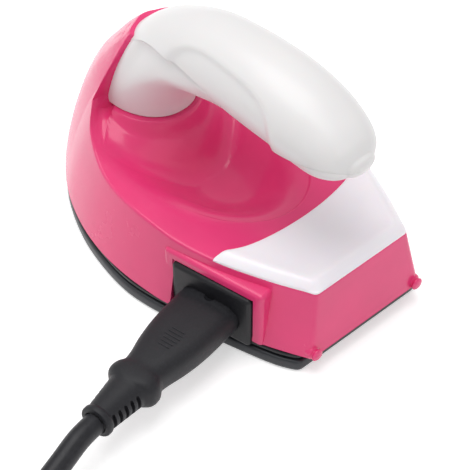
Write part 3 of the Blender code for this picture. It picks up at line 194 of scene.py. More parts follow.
def even_points(line, count):
    """The same line with its points at even spacing."""
    lengths = [0.0]
    for a, b in zip(line, line[1:]):
        lengths.append(lengths[-1] + (b - a).length)
    made = []
    at = 0
    for index in range(count):
        goal = lengths[-1] * index / (count - 1)
        while at < len(line) - 2 and lengths[at + 1] < goal:
            at += 1
        part = (goal - lengths[at]) / (lengths[at + 1] - lengths[at])
        made.append(line[at].lerp(line[at + 1], min(1.0, part)))
    return made


LINE_STEPS = 16
CORNER_STEPS = 5
HEEL_STEPS = 22
SHELL_CORNER = 0.0011
SOLE_CORNER = 0.0012


def side_line(shares, length, half_width, count, corner):
    """The left side of an outline from the heel's corner to the nose, with its corner rounded."""
    chosen = [Vector((x * length, y * half_width, 0)) for x, y in shares]
    mirrored = Vector((chosen[-2].x, -chosen[-2].y, 0))
    line = curve_through(chosen + [mirrored], LINE_STEPS)[:-LINE_STEPS]
    line = even_points(line, count)
    start = next(i for i, p in enumerate(line) if (p - line[0]).length > corner)
    beside = line[0] - Vector((0, corner, 0))
    arc = [bend(beside, line[0], line[start], step / CORNER_STEPS)
           for step in range(CORNER_STEPS + 1)]
    return arc + line[start + 1:]


def shell_side(count):
    """The casing's outline on the left side."""
    return side_line(shell_outline, sizes().shell_length, sizes().shell_half_width, count,
                     SHELL_CORNER)


def right_side(left):
    """The same points on the right side, back from the nose."""
    return [Vector((p.x, -p.y, p.z)) for p in reversed(left)]


def heel_edge(right_end, left_start):
    """The inner points of the heel's edge."""
    return [right_end.lerp(left_start, step / HEEL_STEPS) for step in range(1, HEEL_STEPS)]


def deselect():
    for piece in bpy.context.selected_objects:
        piece.select_set(False)


def pick(piece):
    """Makes a piece the only one selected."""
    deselect()
    piece.select_set(True)
    bpy.context.view_layer.objects.active = piece
    return piece


def piece_from(name, shape):
    """A new piece from a bmesh."""
    mesh = bpy.data.meshes.new(name)
    shape.to_mesh(mesh)
    shape.free()
    piece = bpy.data.objects.new(name, mesh)
    bpy.context.scene.collection.objects.link(piece)
    return pick(piece)


def loft(name, rings, capped=True):
    """A body through rings of the same count of points."""
    shape = bmesh.new()
    made = [[shape.verts.new(point) for point in ring] for ring in rings]
    for lower, upper in zip(made, made[1:]):
        for index in range(len(lower)):
            after = (index + 1) % len(lower)
            shape.faces.new((lower[index], lower[after], upper[after], upper[index]))
    if capped:
        shape.faces.new(made[0])
        shape.faces.new(made[-1])
    bmesh.ops.remove_doubles(shape, verts=shape.verts, dist=0.0000004)
    bmesh.ops.recalc_face_normals(shape, faces=shape.faces)
    return piece_from(name, shape)


def settle(piece, name):
    """Names a piece and puts its place, turn and size into its mesh."""
    piece.name = name
    pick(piece)
    bpy.ops.object.transform_apply(location=True, rotation=True, scale=True)
    return piece


def add_block(name, size, centre, turn=0.0, edge=0.0, segments=3):
    """A block with rounded edges, turned about Z at its own centre."""
    deselect()
    bpy.ops.mesh.primitive_cube_add(size=1, location=centre, rotation=(0, 0, turn))
    bpy.context.object.scale = size
    piece = settle(bpy.context.object, name)
    return round_edges(piece, edge, segments) if edge > 0 else piece


def add_rod(name, radius, length, centre, axis, sides):
    """A round rod centred on a point and lying along an axis."""
    deselect()
    turn = axis.to_track_quat("Z", "Y").to_euler()
    bpy.ops.mesh.primitive_cone_add(vertices=sides, radius1=radius, radius2=radius, depth=length,
                                    location=centre, rotation=turn)
    return settle(bpy.context.object, name)


def apply_change(piece, kind, **settings):
    """Changes a piece by a modifier with the given settings."""
    change = piece.modifiers.new("change", kind)
    for setting, value in settings.items():
        setattr(change, setting, value)
    pick(piece)
    bpy.ops.object.modifier_apply(modifier=change.name)
    return piece


def round_edges(piece, width, segments=3):
    """Rounds the edges that are sharper than 30 degrees."""
    return apply_change(piece, "BEVEL", width=width, segments=segments, limit_method="ANGLE",
                        angle_limit=math.radians(30))


def cut(piece, tool, operation="DIFFERENCE"):
    """Cuts a tool away from a piece, or joins the two, and removes the tool."""
    apply_change(piece, "BOOLEAN", operation=operation, object=tool, solver="EXACT")
    bpy.data.objects.remove(tool, do_unlink=True)


def carve(piece, size, places, turn, edge, operation="DIFFERENCE"):
    """Cuts small blocks away from a moulding, or adds them to it."""
    for place in places:
        cut(piece, add_block("tool", size, place, turn, edge, 2), operation)


def join(pieces, name):
    """Makes one piece of several."""
    pick(pieces[0])
    for piece in pieces:
        piece.select_set(True)
    bpy.ops.object.join()
    pieces[0].name = name
    return pieces[0]


def finish_piece(piece, finish, body, replaced=(), angle=35):
    """Shades a piece, gives it its finish and says which body and parts it stands for."""
    pick(piece)
    if piece.type == "MESH":
        bpy.ops.object.shade_smooth_by_angle(angle=math.radians(angle))
    piece.data.materials.clear()
    piece.data.materials.append(finishes[finish])
    piece.data.name = piece.name
    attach(piece, body)
    if replaced:
        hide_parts(*replaced)


# Finishes
class Wire:
    """A value on its way through a material. Sums and products add Math nodes."""

    def __init__(self, finish, socket):
        self.finish = finish
        self.socket = socket

    def __add__(self, other):
        return self.finish.maths("ADD", self, other)

    def __mul__(self, other):
        return self.finish.maths("MULTIPLY", self, other)


class Finish:
    """A material being mixed for one of the iron's finishes."""

    def __init__(self, name, **sockets):
        self.material = bpy.data.materials.new(name)
        self.material.use_nodes = True
        self.tree = self.material.node_tree
        self.shader = self.tree.nodes["Principled BSDF"]
        for socket, value in sockets.items():
            self.set(socket.replace("_", " "), value)
        self.place = self.node("ShaderNodeTexCoord", {}, {}, "Object")

    def lead(self, value, socket):
        """Leads a wire to a socket, or gives it a plain value."""
        if isinstance(value, Wire):
            self.tree.links.new(value.socket, socket)
        else:
            socket.default_value = value

    def set(self, socket, value):
        self.lead(value, self.shader.inputs[socket])

    def node(self, kind, settings, sockets, output=0):
        """Adds a node: its settings first, then the values or wires of its sockets."""
        made = self.tree.nodes.new(kind)
        for setting, value in settings.items():
            setattr(made, setting, value)
        for socket, value in sockets.items():
            self.lead(value, made.inputs[socket])
        return Wire(self, made.outputs[output])

    def maths(self, operation, first, second):
        return self.node("ShaderNodeMath", {"operation": operation}, {0: first, 1: second})

    def stretched(self, scale):
        """The place with its axes scaled, so that a pattern on it is drawn out or mirrored."""
        return self.node("ShaderNodeMapping", {}, {"Vector": self.place, "Scale": scale})

    def noise(self, scale, detail, rough, stretch=None):
        """Cloudy noise about 0.5, with the given number of clouds to a metre."""
        return self.node("ShaderNodeTexNoise", {}, {
            "Vector": self.stretched(stretch) if stretch else self.place, "Scale": scale,
            "Detail": detail, "Roughness": rough})

    def range(self, value, low, high, to_low=0, to_high=1):
        """Moves a value from one range to another, held at its ends."""
        return self.node("ShaderNodeMapRange", {"clamp": True}, {
            "Value": value, "From Min": low, "From Max": high, "To Min": to_low,
            "To Max": to_high})

    def shades(self, mask, first, second, socket="Base Color"):
        """Leads two colours, mixed by a mask, to the shader."""
        self.set(socket, self.node("ShaderNodeMix", {"data_type": "RGBA"}, {
            "Factor": mask, 6: (*first, 1.0), 7: (*second, 1.0)}, 2))

    def dullness(self, value, low, high, least, most):
        """Leads a value, moved to a range, to the shader's roughness."""
        self.set("Roughness", self.range(value, low, high, least, most))

    def bump(self, height, strength, distance):
        """Leads a height to the shader's normal and gives the finished material."""
        self.set("Normal", self.node("ShaderNodeBump", {}, {
            "Height": height, "Strength": strength, "Distance": distance}))
        return self.material

    def edge_mask(self, low, high):
        """A mask of the outer, convex edges: the rubbed edges of the black mouldings, the lighter
        edges of the soleplate.
        """
        return self.range(self.node("ShaderNodeNewGeometry", {}, {}, "Pointiness"), low, high)


def tinted(colour, factor):
    return tuple(min(1.0, part * factor) for part in colour)


def gloss_plastic(name, colour, roughness, coat):
    """Moulded gloss plastic: slight swirls in the colour, soft ripples and fine handling marks."""
    finish = Finish(name, Coat_Weight=coat, Coat_Roughness=0.06, Specular_IOR_Level=0.40)
    swirl = finish.noise(38, 4, 0.55)
    marks = finish.noise(900, 5, 0.65, (1.0, 0.25, 1.0))
    finish.shades(finish.range(swirl, 0.35, 0.65), tinted(colour, 0.95), tinted(colour, 1.05))
    finish.set("Roughness", finish.range(swirl, 0.3, 0.7, roughness * 0.85, roughness * 1.15)
               + finish.range(marks, 0.30, 0.80, 0, 0.008))
    return finish.bump(finish.noise(160, 2, 0.4), 0.02, 0.00004)


def satin_plastic(name, colour, roughness, subsurface, grain, depth):
    """Moulded satin plastic: faint flow shades, a fine even grain and some depth."""
    finish = Finish(name, Coat_Weight=0.12, Coat_Roughness=0.25, Subsurface_Weight=subsurface,
                    Subsurface_Scale=0.0006)
    flowed = finish.noise(30, 3, 0.5)
    fine = finish.noise(grain, 2, 0.5)
    finish.shades(finish.range(flowed, 0.15, 0.85), tinted(colour, 0.975), tinted(colour, 1.025))
    finish.dullness(flowed, 0.1, 0.9, roughness - 0.04, roughness + 0.04)
    return finish.bump(fine * 0.7 + finish.noise(120, 2, 0.4) * 0.3, depth, 0.00003)


def black_moulding(name, colour, roughness, grain, strength):
    """Black moulding: spark-eroded grain, slightly greyer where it is rubbed and in fine dust."""
    finish = Finish(name, Specular_IOR_Level=0.30)
    fine = finish.noise(grain, 4, 0.6)
    cloud = finish.noise(60, 4, 0.6)
    rubbed = finish.edge_mask(0.52, 0.60) * finish.range(cloud, 0.4, 0.6, 0.2, 1.0)
    dusty = finish.range(fine, 0.45, 0.8, 0.0, 0.35) + rubbed * 0.5
    finish.shades(dusty, colour, tinted(colour, 2.6))
    finish.dullness(fine, 0.3, 0.7, roughness - 0.08, roughness + 0.08)
    return finish.bump(fine, strength, 0.00006)


def sole_coating(name, colour):
    """Coated aluminium: fine lengthwise marks, a slight sparkle and a lighter colour along its
    convex edges.
    """
    finish = Finish(name, Metallic=0.20)
    strokes = finish.noise(700, 4, 0.6, (0.12, 1.0, 1.0))
    speck = finish.noise(2600, 2, 0.5)
    # The colour is lighter along the sole's convex edges, where the edge mask is high.
    lighter_edge = finish.edge_mask(0.53, 0.62)
    finish.shades(finish.range(strokes, 0.35, 0.7, 0, 0.5) + lighter_edge * 0.5, colour,
                  tinted(colour, 2.4))
    finish.dullness(strokes, 0.3, 0.7, 0.30, 0.44)
    return finish.bump(strokes * 0.6 + speck * 0.4, 0.15, 0.00003)


def bare_metal(name, colour, roughness):
    """Turned or stamped metal: fine strokes and small dull spots."""
    finish = Finish(name, Metallic=1.0)
    strokes = finish.noise(1500, 4, 0.6, (1.0, 1.0, 0.2))
    spots = finish.noise(300, 4, 0.6)
    finish.shades(finish.range(spots, 0.5, 0.75, 0, 0.6), colour, tinted(colour, 0.7))
    finish.dullness(strokes, 0.3, 0.7, roughness - 0.08, roughness + 0.1)
    return finish.bump(strokes, 0.2, 0.00002)


def fired_ceramic(name, colour, roughness):
    """Fired ceramic or pressed mica: specks, chalky grain and a slightly uneven face."""
    finish = Finish(name)
    specks = finish.noise(1800, 3, 0.6)
    cloud = finish.noise(110, 4, 0.5)
    finish.shades(finish.range(specks, 0.55, 0.75, 0, 0.8), colour, tinted(colour, 0.62))
    finish.dullness(cloud, 0.3, 0.7, roughness - 0.08, roughness + 0.08)
    return finish.bump(specks * 0.5 + cloud * 0.5, 0.3, 0.00005)


def woven_sleeve(name, colour):
    """Glass-fibre sleeve of the inner leads: a fine crossed weave."""
    finish = Finish(name)
    one, two = (finish.node("ShaderNodeTexWave", {"bands_direction": "DIAGONAL"}, {
        "Vector": place, "Scale": 900.0, "Distortion": 0.6})
        for place in (finish.place, finish.stretched((-1, 1, 1))))
    weave = one * two
    finish.shades(weave, tinted(colour, 0.75), colour)
    finish.dullness(weave, 0.0, 1.0, 0.75, 0.6)
    return finish.bump(weave, 0.5, 0.0001)


FLOOR_GLOW = 0.42


def floor_white(name):
    """Paper white floor: it takes the shadow and shows white to the camera and in reflections."""
    finish = Finish(name, Roughness=0.9, Emission_Strength=FLOOR_GLOW)
    fibre = finish.noise(240, 4, 0.6)
    finish.shades(finish.range(fibre, 0.3, 0.7), (0.90, 0.90, 0.90), (0.93, 0.93, 0.93))
    camera, glossy, through = (
        finish.node("ShaderNodeLightPath", {}, {}, f"Is {ray} Ray")
        for ray in ("Camera", "Glossy", "Transmission"))
    seen = finish.maths("MAXIMUM", finish.maths("MAXIMUM", camera, glossy), through)
    finish.shades(seen, (0.0, 0.0, 0.0), (1.0, 1.0, 1.0), "Emission Color")
    return finish.material


# The casing's shape
NOSE_TAPER = 0.0200
WALL_LEAN = 0.0035
HEEL_LEAN = 0.0022
HANDLE_STEPS = 12
HANDLE_ROUNDNESS = 0.47
HOOD_SECTIONS = 6 * HANDLE_STEPS
HOOD_PROUD = 0.0008
HOOD_GAP = 0.00022
HOOD_LOW = 0.030
HOOD_RISE = 0.006
HOOD_ROUNDING = 0.0030
HOOD_START = 0.0332
TIP_HEIGHT = 0.0535
DISH_MIDDLE = 0.060
DISH_LENGTH = 0.034
DISH_HALF_WIDTH = 0.0218
DISH_STEP = 0.0007
DISH_STEP_RUN = 0.03
HEEL_SLOPE = 0.62
AHEAD_SLOPE = 0.36
AHEAD_SPREAD = 0.14
AHEAD_START = 0.040
AHEAD_RUN = 0.020
SIDE_START = 0.020
SIDE_RUN = 0.016
SIDE_OUT = 0.009
SIDE_OUT_RUN = 0.012
RIM_HALF_WIDTH = 0.0011
FOOT_MIDDLE_SHARE = 0.738
FOOT_HALF_LENGTH = 0.0114
STEM_HALF_WIDTH = 0.0115
FOOT_INSET = 0.0008
FOOT_ROUNDNESS = 0.85
SHELL_WALL = 0.0018
# Distance from the stem's foot against share of the rise to its seat
pedestal_rise = (
    (0.0006, 1.0), (0.0009, 0.975), (0.0013, 0.90), (0.0019, 0.78), (0.0026, 0.67), (0.0034, 0.59),
    (0.0048, 0.43), (0.0064, 0.24), (0.0082, 0.09), (0.0105, 0.0))
# Points along the casing's outline and up and over it, and how they crowd towards its edges
SHELL_POINTS = 1400
WALL_CROWDING = 1.15
OUT_CROWDING = 1.6
IN_CROWDING = 1.7
RIM_LARGEST = 0.07
NOSE_END = 0.9995
HOOD_RISE_SHARE = 0.83
HOOD_COLUMNS = 46
PLAIN_COLUMNS = 84
FRONT_COLUMNS = 12
WALL_STEPS = 40
CREASE_STEPS = 4
TOP_OUT_STEPS = 22
RIM_STEPS = 9
TOP_IN_STEPS = 52
TOP_STEPS = TOP_OUT_STEPS + RIM_STEPS + TOP_IN_STEPS
HOOD_STEPS = TOP_OUT_STEPS * 0.6
INNER_STEPS = 8
INNER_STRIDE = 6


def nose_x(z):
    return station(flow(nose_profile, z / sizes().iron_height))


def hood_edge_x(z):
    return station(flow(hood_edge, z / sizes().iron_height))


def plateau(share):
    """Height of the wall's top edge at a share of the casing's length."""
    return sizes().iron_height * flow(crease_line, share)


def lean_at(z):
    """Share of the wall's lean that it has at a height: 1 at the heel's top."""
    return (z - sizes().shell_bottom) / (sizes().heel_top - sizes().shell_bottom)


def wall_place(p, z, inset=0.0):
    """A point of the casing's outer wall over the outline point p, at height z."""
    lean = lean_at(z)
    rear = REAR_X + HEEL_LEAN * lean + inset
    nose = nose_x(z) - inset
    width = abs(p.y)
    drawn = max(0.0, width - (WALL_LEAN * lean + inset) * min(1.0, width / NOSE_TAPER))
    x = rear + (nose - rear) * p.x / sizes().shell_length
    return Vector((x, math.copysign(drawn, p.y), z))


class HandleSection:
    """One section of the handle: its middle, its direction from the inner to the outer side, its
    half height and half width, and the place of the ridge between grip cover and stem."""

    def __init__(self, row):
        inner = Vector((station(row[0]), 0, row[1] * sizes().iron_height))
        outer = Vector((station(row[2]), 0, row[3] * sizes().iron_height))
        self.middle = (inner + outer) / 2
        self.half = (outer - inner).length / 2
        self.up = (outer - inner).normalized()
        self.along = Vector((self.up.z, 0, -self.up.x))
        self.wide = row[4] * sizes().handle_half_width
        self.ridge = max(-0.97, min(1.0, row[5]))

    def half_width(self, q, grow=0.0):
        """Half width at a place q: -1 on the inner side, 1 on the outer side."""
        return (self.wide + grow) * max(0.0, 1 - q * q) ** HANDLE_ROUNDNESS

    def point(self, q, y):
        return self.middle + self.up * (self.half * q) + Vector((0, y, 0))


def handle_sections():
    rows = [Vector(row) for row in handle_rows]
    return [HandleSection(row) for row in curve_through(rows, HANDLE_STEPS)]


def nearest_section(sections, point):
    """The hooded section that a point lies beside, and the point as seen from its middle."""
    section = min(sections[:HOOD_SECTIONS],
                  key=lambda each: abs((point - each.middle).dot(each.along)))
    return section, point - section.middle


def crown_width(sections, x, z):
    """Half width of the handle with the hood on it, at a place seen from the side."""
    section, away = nearest_section(sections, Vector((x, 0, z)))
    return section.half_width(away.dot(section.up) / (section.half + HOOD_PROUD), HOOD_PROUD)


def onto_handle(sections, point):
    """The point moved onto the handle's own surface, with a little gap."""
    section, away = nearest_section(sections, point)
    up = away.dot(section.up)
    reach = math.hypot(up / (section.half + HOOD_GAP), point.y / (section.wide + HOOD_GAP))
    return (section.middle + section.along * away.dot(section.along) + section.up * (up / reach)
            + Vector((0, point.y / reach, 0)))


def soft_largest(a, b, blend):
    """The larger of two lengths, with their meeting rounded off."""
    h = max(blend - abs(a - b), 0.0) / blend
    return max(a, b) + h * h * blend / 4


def dish_place(x, y):
    """How far out a place lies from the dish's middle: 1 on its rim."""
    return math.hypot((x - REAR_X - DISH_MIDDLE) / DISH_LENGTH, y / DISH_HALF_WIDTH)


def top_height(x, y):
    """Height of the casing's top: flat heel, dish with its rim, rise to the stem's seat."""
    size = sizes()
    out = dish_place(x, y)
    # Towards the nose and the sides the dish's slope starts sooner and is longer
    along = x - REAR_X
    ahead = max(ease((along - AHEAD_START) / AHEAD_RUN),
                ease((abs(y) - SIDE_OUT) / SIDE_OUT_RUN) * ease((along - SIDE_START) / SIDE_RUN))
    start = 1.0 + AHEAD_SPREAD * ahead
    z = plateau(along / size.shell_length)
    z -= size.dish_depth * ease((start - out) / (HEEL_SLOPE + AHEAD_SLOPE * ahead))
    z -= DISH_STEP * (1 - ahead) * ease((1.0 - out) / DISH_STEP_RUN)
    foot = math.hypot((x - station(FOOT_MIDDLE_SHARE)) / FOOT_HALF_LENGTH, y / STEM_HALF_WIDTH)
    rise = flow(pedestal_rise, (foot - 1) * STEM_HALF_WIDTH)
    return z + (size.stem_seat - GAP - z) * rise


def hood_share(z):
    """Where along the outline the wall line ends that meets the hood's edge at height z."""
    rear = REAR_X + HEEL_LEAN * lean_at(z)
    return min(1.0, (hood_edge_x(z) - rear) / (nose_x(z) - rear))


def casing_columns():
    """Outline points of the left side, each with the height at which its wall line ends, and the
    place of the first one under the hood."""
    shell_length = sizes().shell_length
    line = shell_side(SHELL_POINTS)

    def at(share):
        goal = share * shell_length
        for a, b in zip(line, line[1:]):
            if b.x >= goal:
                return a.lerp(b, (goal - a.x) / max(b.x - a.x, 0.0000001))
        return line[-1]

    def under_hood(level):
        return at(min(hood_share(level), NOSE_END))

    columns = [(point, plateau(point.x / shell_length)) for point in line[:CORNER_STEPS + 1]]
    start = columns[-1][0].x / shell_length
    first = hood_share(HOOD_START)
    for step in range(1, PLAIN_COLUMNS):
        share = start + (first - start) * step / PLAIN_COLUMNS
        height = plateau(share)
        rise = ease((share - HOOD_RISE_SHARE) / (first - HOOD_RISE_SHARE))
        columns.append((at(share), height + (HOOD_START - height) * rise))
    first_hood = len(columns)
    for step in range(HOOD_COLUMNS):
        level = HOOD_START + (TIP_HEIGHT - HOOD_START) * step / HOOD_COLUMNS
        columns.append((under_hood(level), level))
    brow = under_hood(TIP_HEIGHT)
    front = even_points([brow] + [p for p in line if p.x > brow.x], FRONT_COLUMNS)[:-1]
    columns += [(point, TIP_HEIGHT) for point in front + [Vector((shell_length, 0, 0))]]
    return columns, first_hood


def rim_share(edge, foot):
    """How far along the way from the wall's edge to the stem's foot the dish's rim is crossed."""
    low, high = 0.0, 1.0
    for _ in range(24):
        middle = (low + high) / 2
        spot = edge.lerp(foot, middle)
        if dish_place(spot.x, spot.y) > 1:
            low = middle
        else:
            high = middle
    return max(0.09, low)


def way_in(edge, foot, tip):
    """A line of points over the casing's top: under the hood across to the handle and down it,
    elsewhere over the heel or the dish, with close points on the rim."""
    if tip is not None:
        return [edge.lerp(tip, step / HOOD_STEPS) if step < HOOD_STEPS
                else tip.lerp(foot, (step - HOOD_STEPS) / (TOP_STEPS - HOOD_STEPS))
                for step in range(1, TOP_STEPS + 1)]
    rim = rim_share(edge, foot)
    span = Vector((foot.x - edge.x, foot.y - edge.y, 0)).length
    half_rim = min(RIM_HALF_WIDTH / span, RIM_LARGEST)
    start, stop = rim - half_rim, rim + half_rim
    shares = [start * (1 - (1 - step / TOP_OUT_STEPS) ** OUT_CROWDING)
              for step in range(1, TOP_OUT_STEPS)]
    shares += [start + (stop - start) * step / RIM_STEPS for step in range(RIM_STEPS + 1)]
    shares += [stop + (1 - stop) * (1 - (1 - step / TOP_IN_STEPS) ** IN_CROWDING)
               for step in range(1, TOP_IN_STEPS + 1)]
    lift = edge.z - top_height(edge.x, edge.y)
    line = []
    for share in shares:
        x = edge.x + (foot.x - edge.x) * share
        y = edge.y + (foot.y - edge.y) * share
        line.append(Vector((x, y, top_height(x, y) + lift * (1 - share) ** 2)))
    return line


def casing_body():
    """The casing as one closed shell: inner skin, bottom edge, wall, crease, top and hood."""
    size = sizes()
    bottom, radius, seat = size.shell_bottom, size.crease_radius, size.stem_seat - GAP
    sections = handle_sections()
    left, first_hood = casing_columns()
    right = [(Vector((p.x, -p.y, 0)), top) for p, top in reversed(left[:-1])]
    heel = [(p, left[0][1]) for p in heel_edge(right[-1][0], left[0][0])]
    columns = left + right + heel
    hooded = range(first_hood, 2 * (len(left) - 1) - first_hood + 1)

    def outer(p, z):
        """A point of the outer wall, widened where the hood holds the handle."""
        place = wall_place(p, z)
        if z > HOOD_LOW and p.y:
            crown = crown_width(sections, place.x, z)
            if crown > 0:
                side = soft_largest(abs(place.y), crown, HOOD_ROUNDING)
                blend = ease((z - HOOD_LOW) / HOOD_RISE)
                place.y = math.copysign(abs(place.y) * (1 - blend) + side * blend, p.y)
        return place

    wall = []
    for step in range(WALL_STEPS + 1):
        share = 1 - (1 - step / WALL_STEPS) ** WALL_CROWDING
        wall.append([outer(p, bottom + (top - radius - bottom) * share) for p, top in columns])
    edges = [outer(p, top) for p, top in columns]
    foot_x = station(FOOT_MIDDLE_SHARE)
    lines = []
    for index, edge in enumerate(edges):
        angle = math.atan2(edge.y, edge.x - foot_x)
        along = power(math.cos(angle), FOOT_ROUNDNESS) * (FOOT_HALF_LENGTH - FOOT_INSET)
        across = power(math.sin(angle), FOOT_ROUNDNESS) * (STEM_HALF_WIDTH - FOOT_INSET)
        tip = onto_handle(sections, edge) if index in hooded else None
        lines.append(way_in(edge, Vector((foot_x + along, across, seat)), tip))
    tops = [list(ring) for ring in zip(*lines)]
    besides = []
    for edge, near in zip(edges, tops[2]):
        inward = near - edge
        besides.append(edge + inward.normalized() * min(radius, inward.length * 0.9))
    crease = [[bend(below, edge, beside, step / CREASE_STEPS)
               for below, edge, beside in zip(wall[-1], edges, besides)]
              for step in range(1, CREASE_STEPS)]
    for step, ring in enumerate(tops):
        least = 1 + step / 6
        for index, edge in enumerate(edges):
            if (ring[index] - edge).length < radius * least:
                inward = (tops[min(step + 4, TOP_STEPS - 1)][index] - edge).normalized()
                ring[index] = edge + inward * radius * least
    inner_top = [[Vector((p.x, p.y, min(p.z, seat) - SHELL_WALL)) for p in tops[step]]
                 for step in range(TOP_OUT_STEPS // 2, TOP_STEPS, INNER_STRIDE)]
    inner_wall = []
    for step in range(INNER_STEPS + 1):
        inner_wall.append([
            wall_place(p, bottom + (min(top, size.stem_seat) - SHELL_WALL - bottom)
                       * step / INNER_STEPS, SHELL_WALL) for p, top in columns])
    return loft("casing", inner_top[::-1] + inner_wall[::-1] + wall + crease + tops)


# The inlet and its own directions
INLET_TURN = math.radians(11)
INLET_WIDTH = 0.0223
INLET_HEIGHT = 0.0122
INLET_DEPTH = 0.0150
SOCKET_DROP = 0.0012
OPENING_WIDTH = 0.0172
OPENING_HEIGHT = 0.0084
OPENING_DEPTH = 0.0100
OPENING_WAIST = 0.0006
PIN_RADIUS = 0.0012
PIN_REACH = 0.0043
BEZEL_WIDTH = 0.0030
BEZEL_EDGE = 0.0011
FLANGE_WIDTH = 0.0232
FLANGE_DEPTH = 0.0026
FLANGE_HEIGHT = 0.0156
FLANGE_OUT = 0.0006
FLANGE_UP = -0.0002
HOLE_OUT = 0.004
HOLE_DEPTH = INLET_DEPTH + 0.005
inlet_out = Vector((-math.sin(INLET_TURN), math.cos(INLET_TURN), 0))
inlet_along = Vector((math.cos(INLET_TURN), math.sin(INLET_TURN), 0))
# Ahead of the heel by a share of the casing's length, and out from the middle
INLET_SHARE = 0.245
INLET_SIDE = 0.0274
inlet_face = Vector((REAR_X + INLET_SHARE * CASING_LENGTH, INLET_SIDE,
                     CASING_BOTTOM + INLET_HEIGHT / 2 - SOCKET_DROP))


def inlet_place(out, along=0.0, up=0.0):
    """A point measured out of the inlet's face, along it and up from the socket's middle."""
    return inlet_face + inlet_out * out + inlet_along * along + Vector((0, 0, up))


def inlet_block(name, width, depth, height, out, edge=0.0, up=0.0, segments=3):
    """A block in line with the inlet whose outer face lies at the given place."""
    centre = inlet_place(out - depth / 2, 0.0, up + SOCKET_DROP)
    return add_block(name, (width, depth, height), centre, INLET_TURN, edge, segments)


def two_lobes(name, width, height, depth, out):
    """A bar of the two-pole section, two rounds joined by a slight waist."""
    radius = height / 2
    reach = width / 2 - radius
    ring = []
    for index in range(24):
        round_one = polar(radius, math.pi * (index / 23 - 0.5))
        ring.append((reach + round_one.x, round_one.y))
    for index in range(1, 12):
        t = index / 12
        ring.append((reach - 2 * reach * t, radius - OPENING_WAIST * math.sin(math.pi * t) ** 2))
    ring += [(-x, -z) for x, z in ring]
    return loft(name, [[inlet_place(at, x, z) for x, z in ring] for at in (out - depth, out)])


def bore_pins(piece, radius, length, out, sides):
    """Bores the two round holes that the inlet's pins go through."""
    for side in SIDES:
        cut(piece, add_rod("bore", radius, length, inlet_place(out, side * PIN_REACH), inlet_out,
                           sides))


BAR_SIDES = 48


def moulded_bar(name, start, out, across, rows):
    """A moulded body along a straight axis from rows of distance, width, height and roundness."""
    rings = []
    for at, width, height, roundness in rows:
        ring = []
        for index in range(BAR_SIDES):
            angle = FULL_TURN * (index + 0.5) / BAR_SIDES
            ring.append(start + out * at + across * (power(math.cos(angle), roundness) * width / 2)
                        + Vector((0, 0, power(math.sin(angle), roundness) * height / 2)))
        rings.append(ring)
    return loft(name, rings)


def eased_rows(rows, steps):
    """More rows between the given ones, so that a moulding bends smoothly along its length."""
    return [tuple(row) for row in curve_through([Vector(row) for row in rows], steps)]


# The cord's route, through the same places as in the part's own source
CORD_RADIUS = 0.0028
CONNECTOR_LENGTH = 0.0330
CONNECTOR_HEIGHT = 0.0092
RELIEF_LENGTH = 0.0115
RELIEF_WIDTH = 0.0103
RELIEF_END = 0.0078
RELIEF_COLLAR = 0.0016
RELIEF_SLOTS = 5
RELIEF_START = 0.0004
SLOT_SIZE = (0.0036, 0.00095, CONNECTOR_HEIGHT * 0.52)
SLOT_OUT = 0.0004
SLOT_EDGE = 0.0003
COLLAR_PROUD = 0.0007
NOSE_OVERLAP = 0.0012
NOTCH_RADIUS = 0.0015
RIBS = 6
RIB_PITCH = 0.00115
relief_end = CONNECTOR_LENGTH + RELIEF_LENGTH
TURNS_IN = 4.0
TURNS_OUT = 3.25
TURN_POINTS = 24
TURN_GAP = 0.00045
COIL_DIAMETERS = 5.809
COIL_PITCH = 2 * CORD_RADIUS + TURN_GAP
COIL_INNER = COIL_DIAMETERS * 2 * CORD_RADIUS - TURNS_IN / 2 * COIL_PITCH
COIL_START_ANGLE = math.radians(165)
TIE_ANGLE = math.radians(255)
TIE_WALL = 0.0008
TIE_WIDTH = 0.0060
TIE_ROOM = 0.0005
BUTTON_RADIUS = 0.0018
BUTTON_HEIGHT = 0.0009
COIL_LOW = CORD_RADIUS + TIE_WALL + GAP


def by_face(along, out, height):
    """A point measured along X and Y from the inlet's face, at a height over the surface."""
    return Vector((inlet_face.x + along, inlet_face.y + out, height))


coil_centre = by_face(0.0057, 0.1226, 0)
cord_start = inlet_place(relief_end + GAP)
cord_places = (
    (-0.0110, 0.0556, 0.0088), (-0.0124, 0.0616, 0.0074), (-0.0144, 0.0676, 0.0060),
    (-0.0173, 0.0739, 0.0049), (-0.0211, 0.0802, 0.0043), (-0.0255, 0.0866, 0.00395),
    (-0.0301, 0.0932, 0.0039), (-0.0345, 0.1002, 0.0039), (-0.0380, 0.1078, 0.0039),
    (-0.0401, 0.1158, 0.0039))
# Distance from the coil's middle, angle round it in degrees, height
tail_stations = (
    (0.0440, 51, 0.0100), (0.0457, 44, 0.0097), (0.0475, 37, 0.0091), (0.0494, 30, 0.0084),
    (0.0515, 22, 0.0076), (0.0533, 15, 0.0071), (0.0552, 8.5, 0.0069), (0.0568, 2.0, 0.0070),
    (0.0575, -4, 0.0070))


def coil_point(turn):
    """A point of the coil: turns below 0 wind inwards, those above it outwards, one layer up."""
    return coil_centre + polar(
        COIL_INNER + COIL_PITCH * abs(turn), COIL_START_ANGLE - FULL_TURN * (turn + TURNS_IN),
        COIL_LOW + COIL_PITCH * ease(0.5 + 2 * turn))


tail = [coil_centre + polar(distance, math.radians(degrees), height)
        for distance, degrees, height in tail_stations]
plug_start = tail.pop()
plug_heading = math.radians(-86)
plug_out = polar(1.0, plug_heading)
plug_across = Vector((-plug_out.y, plug_out.x, 0))


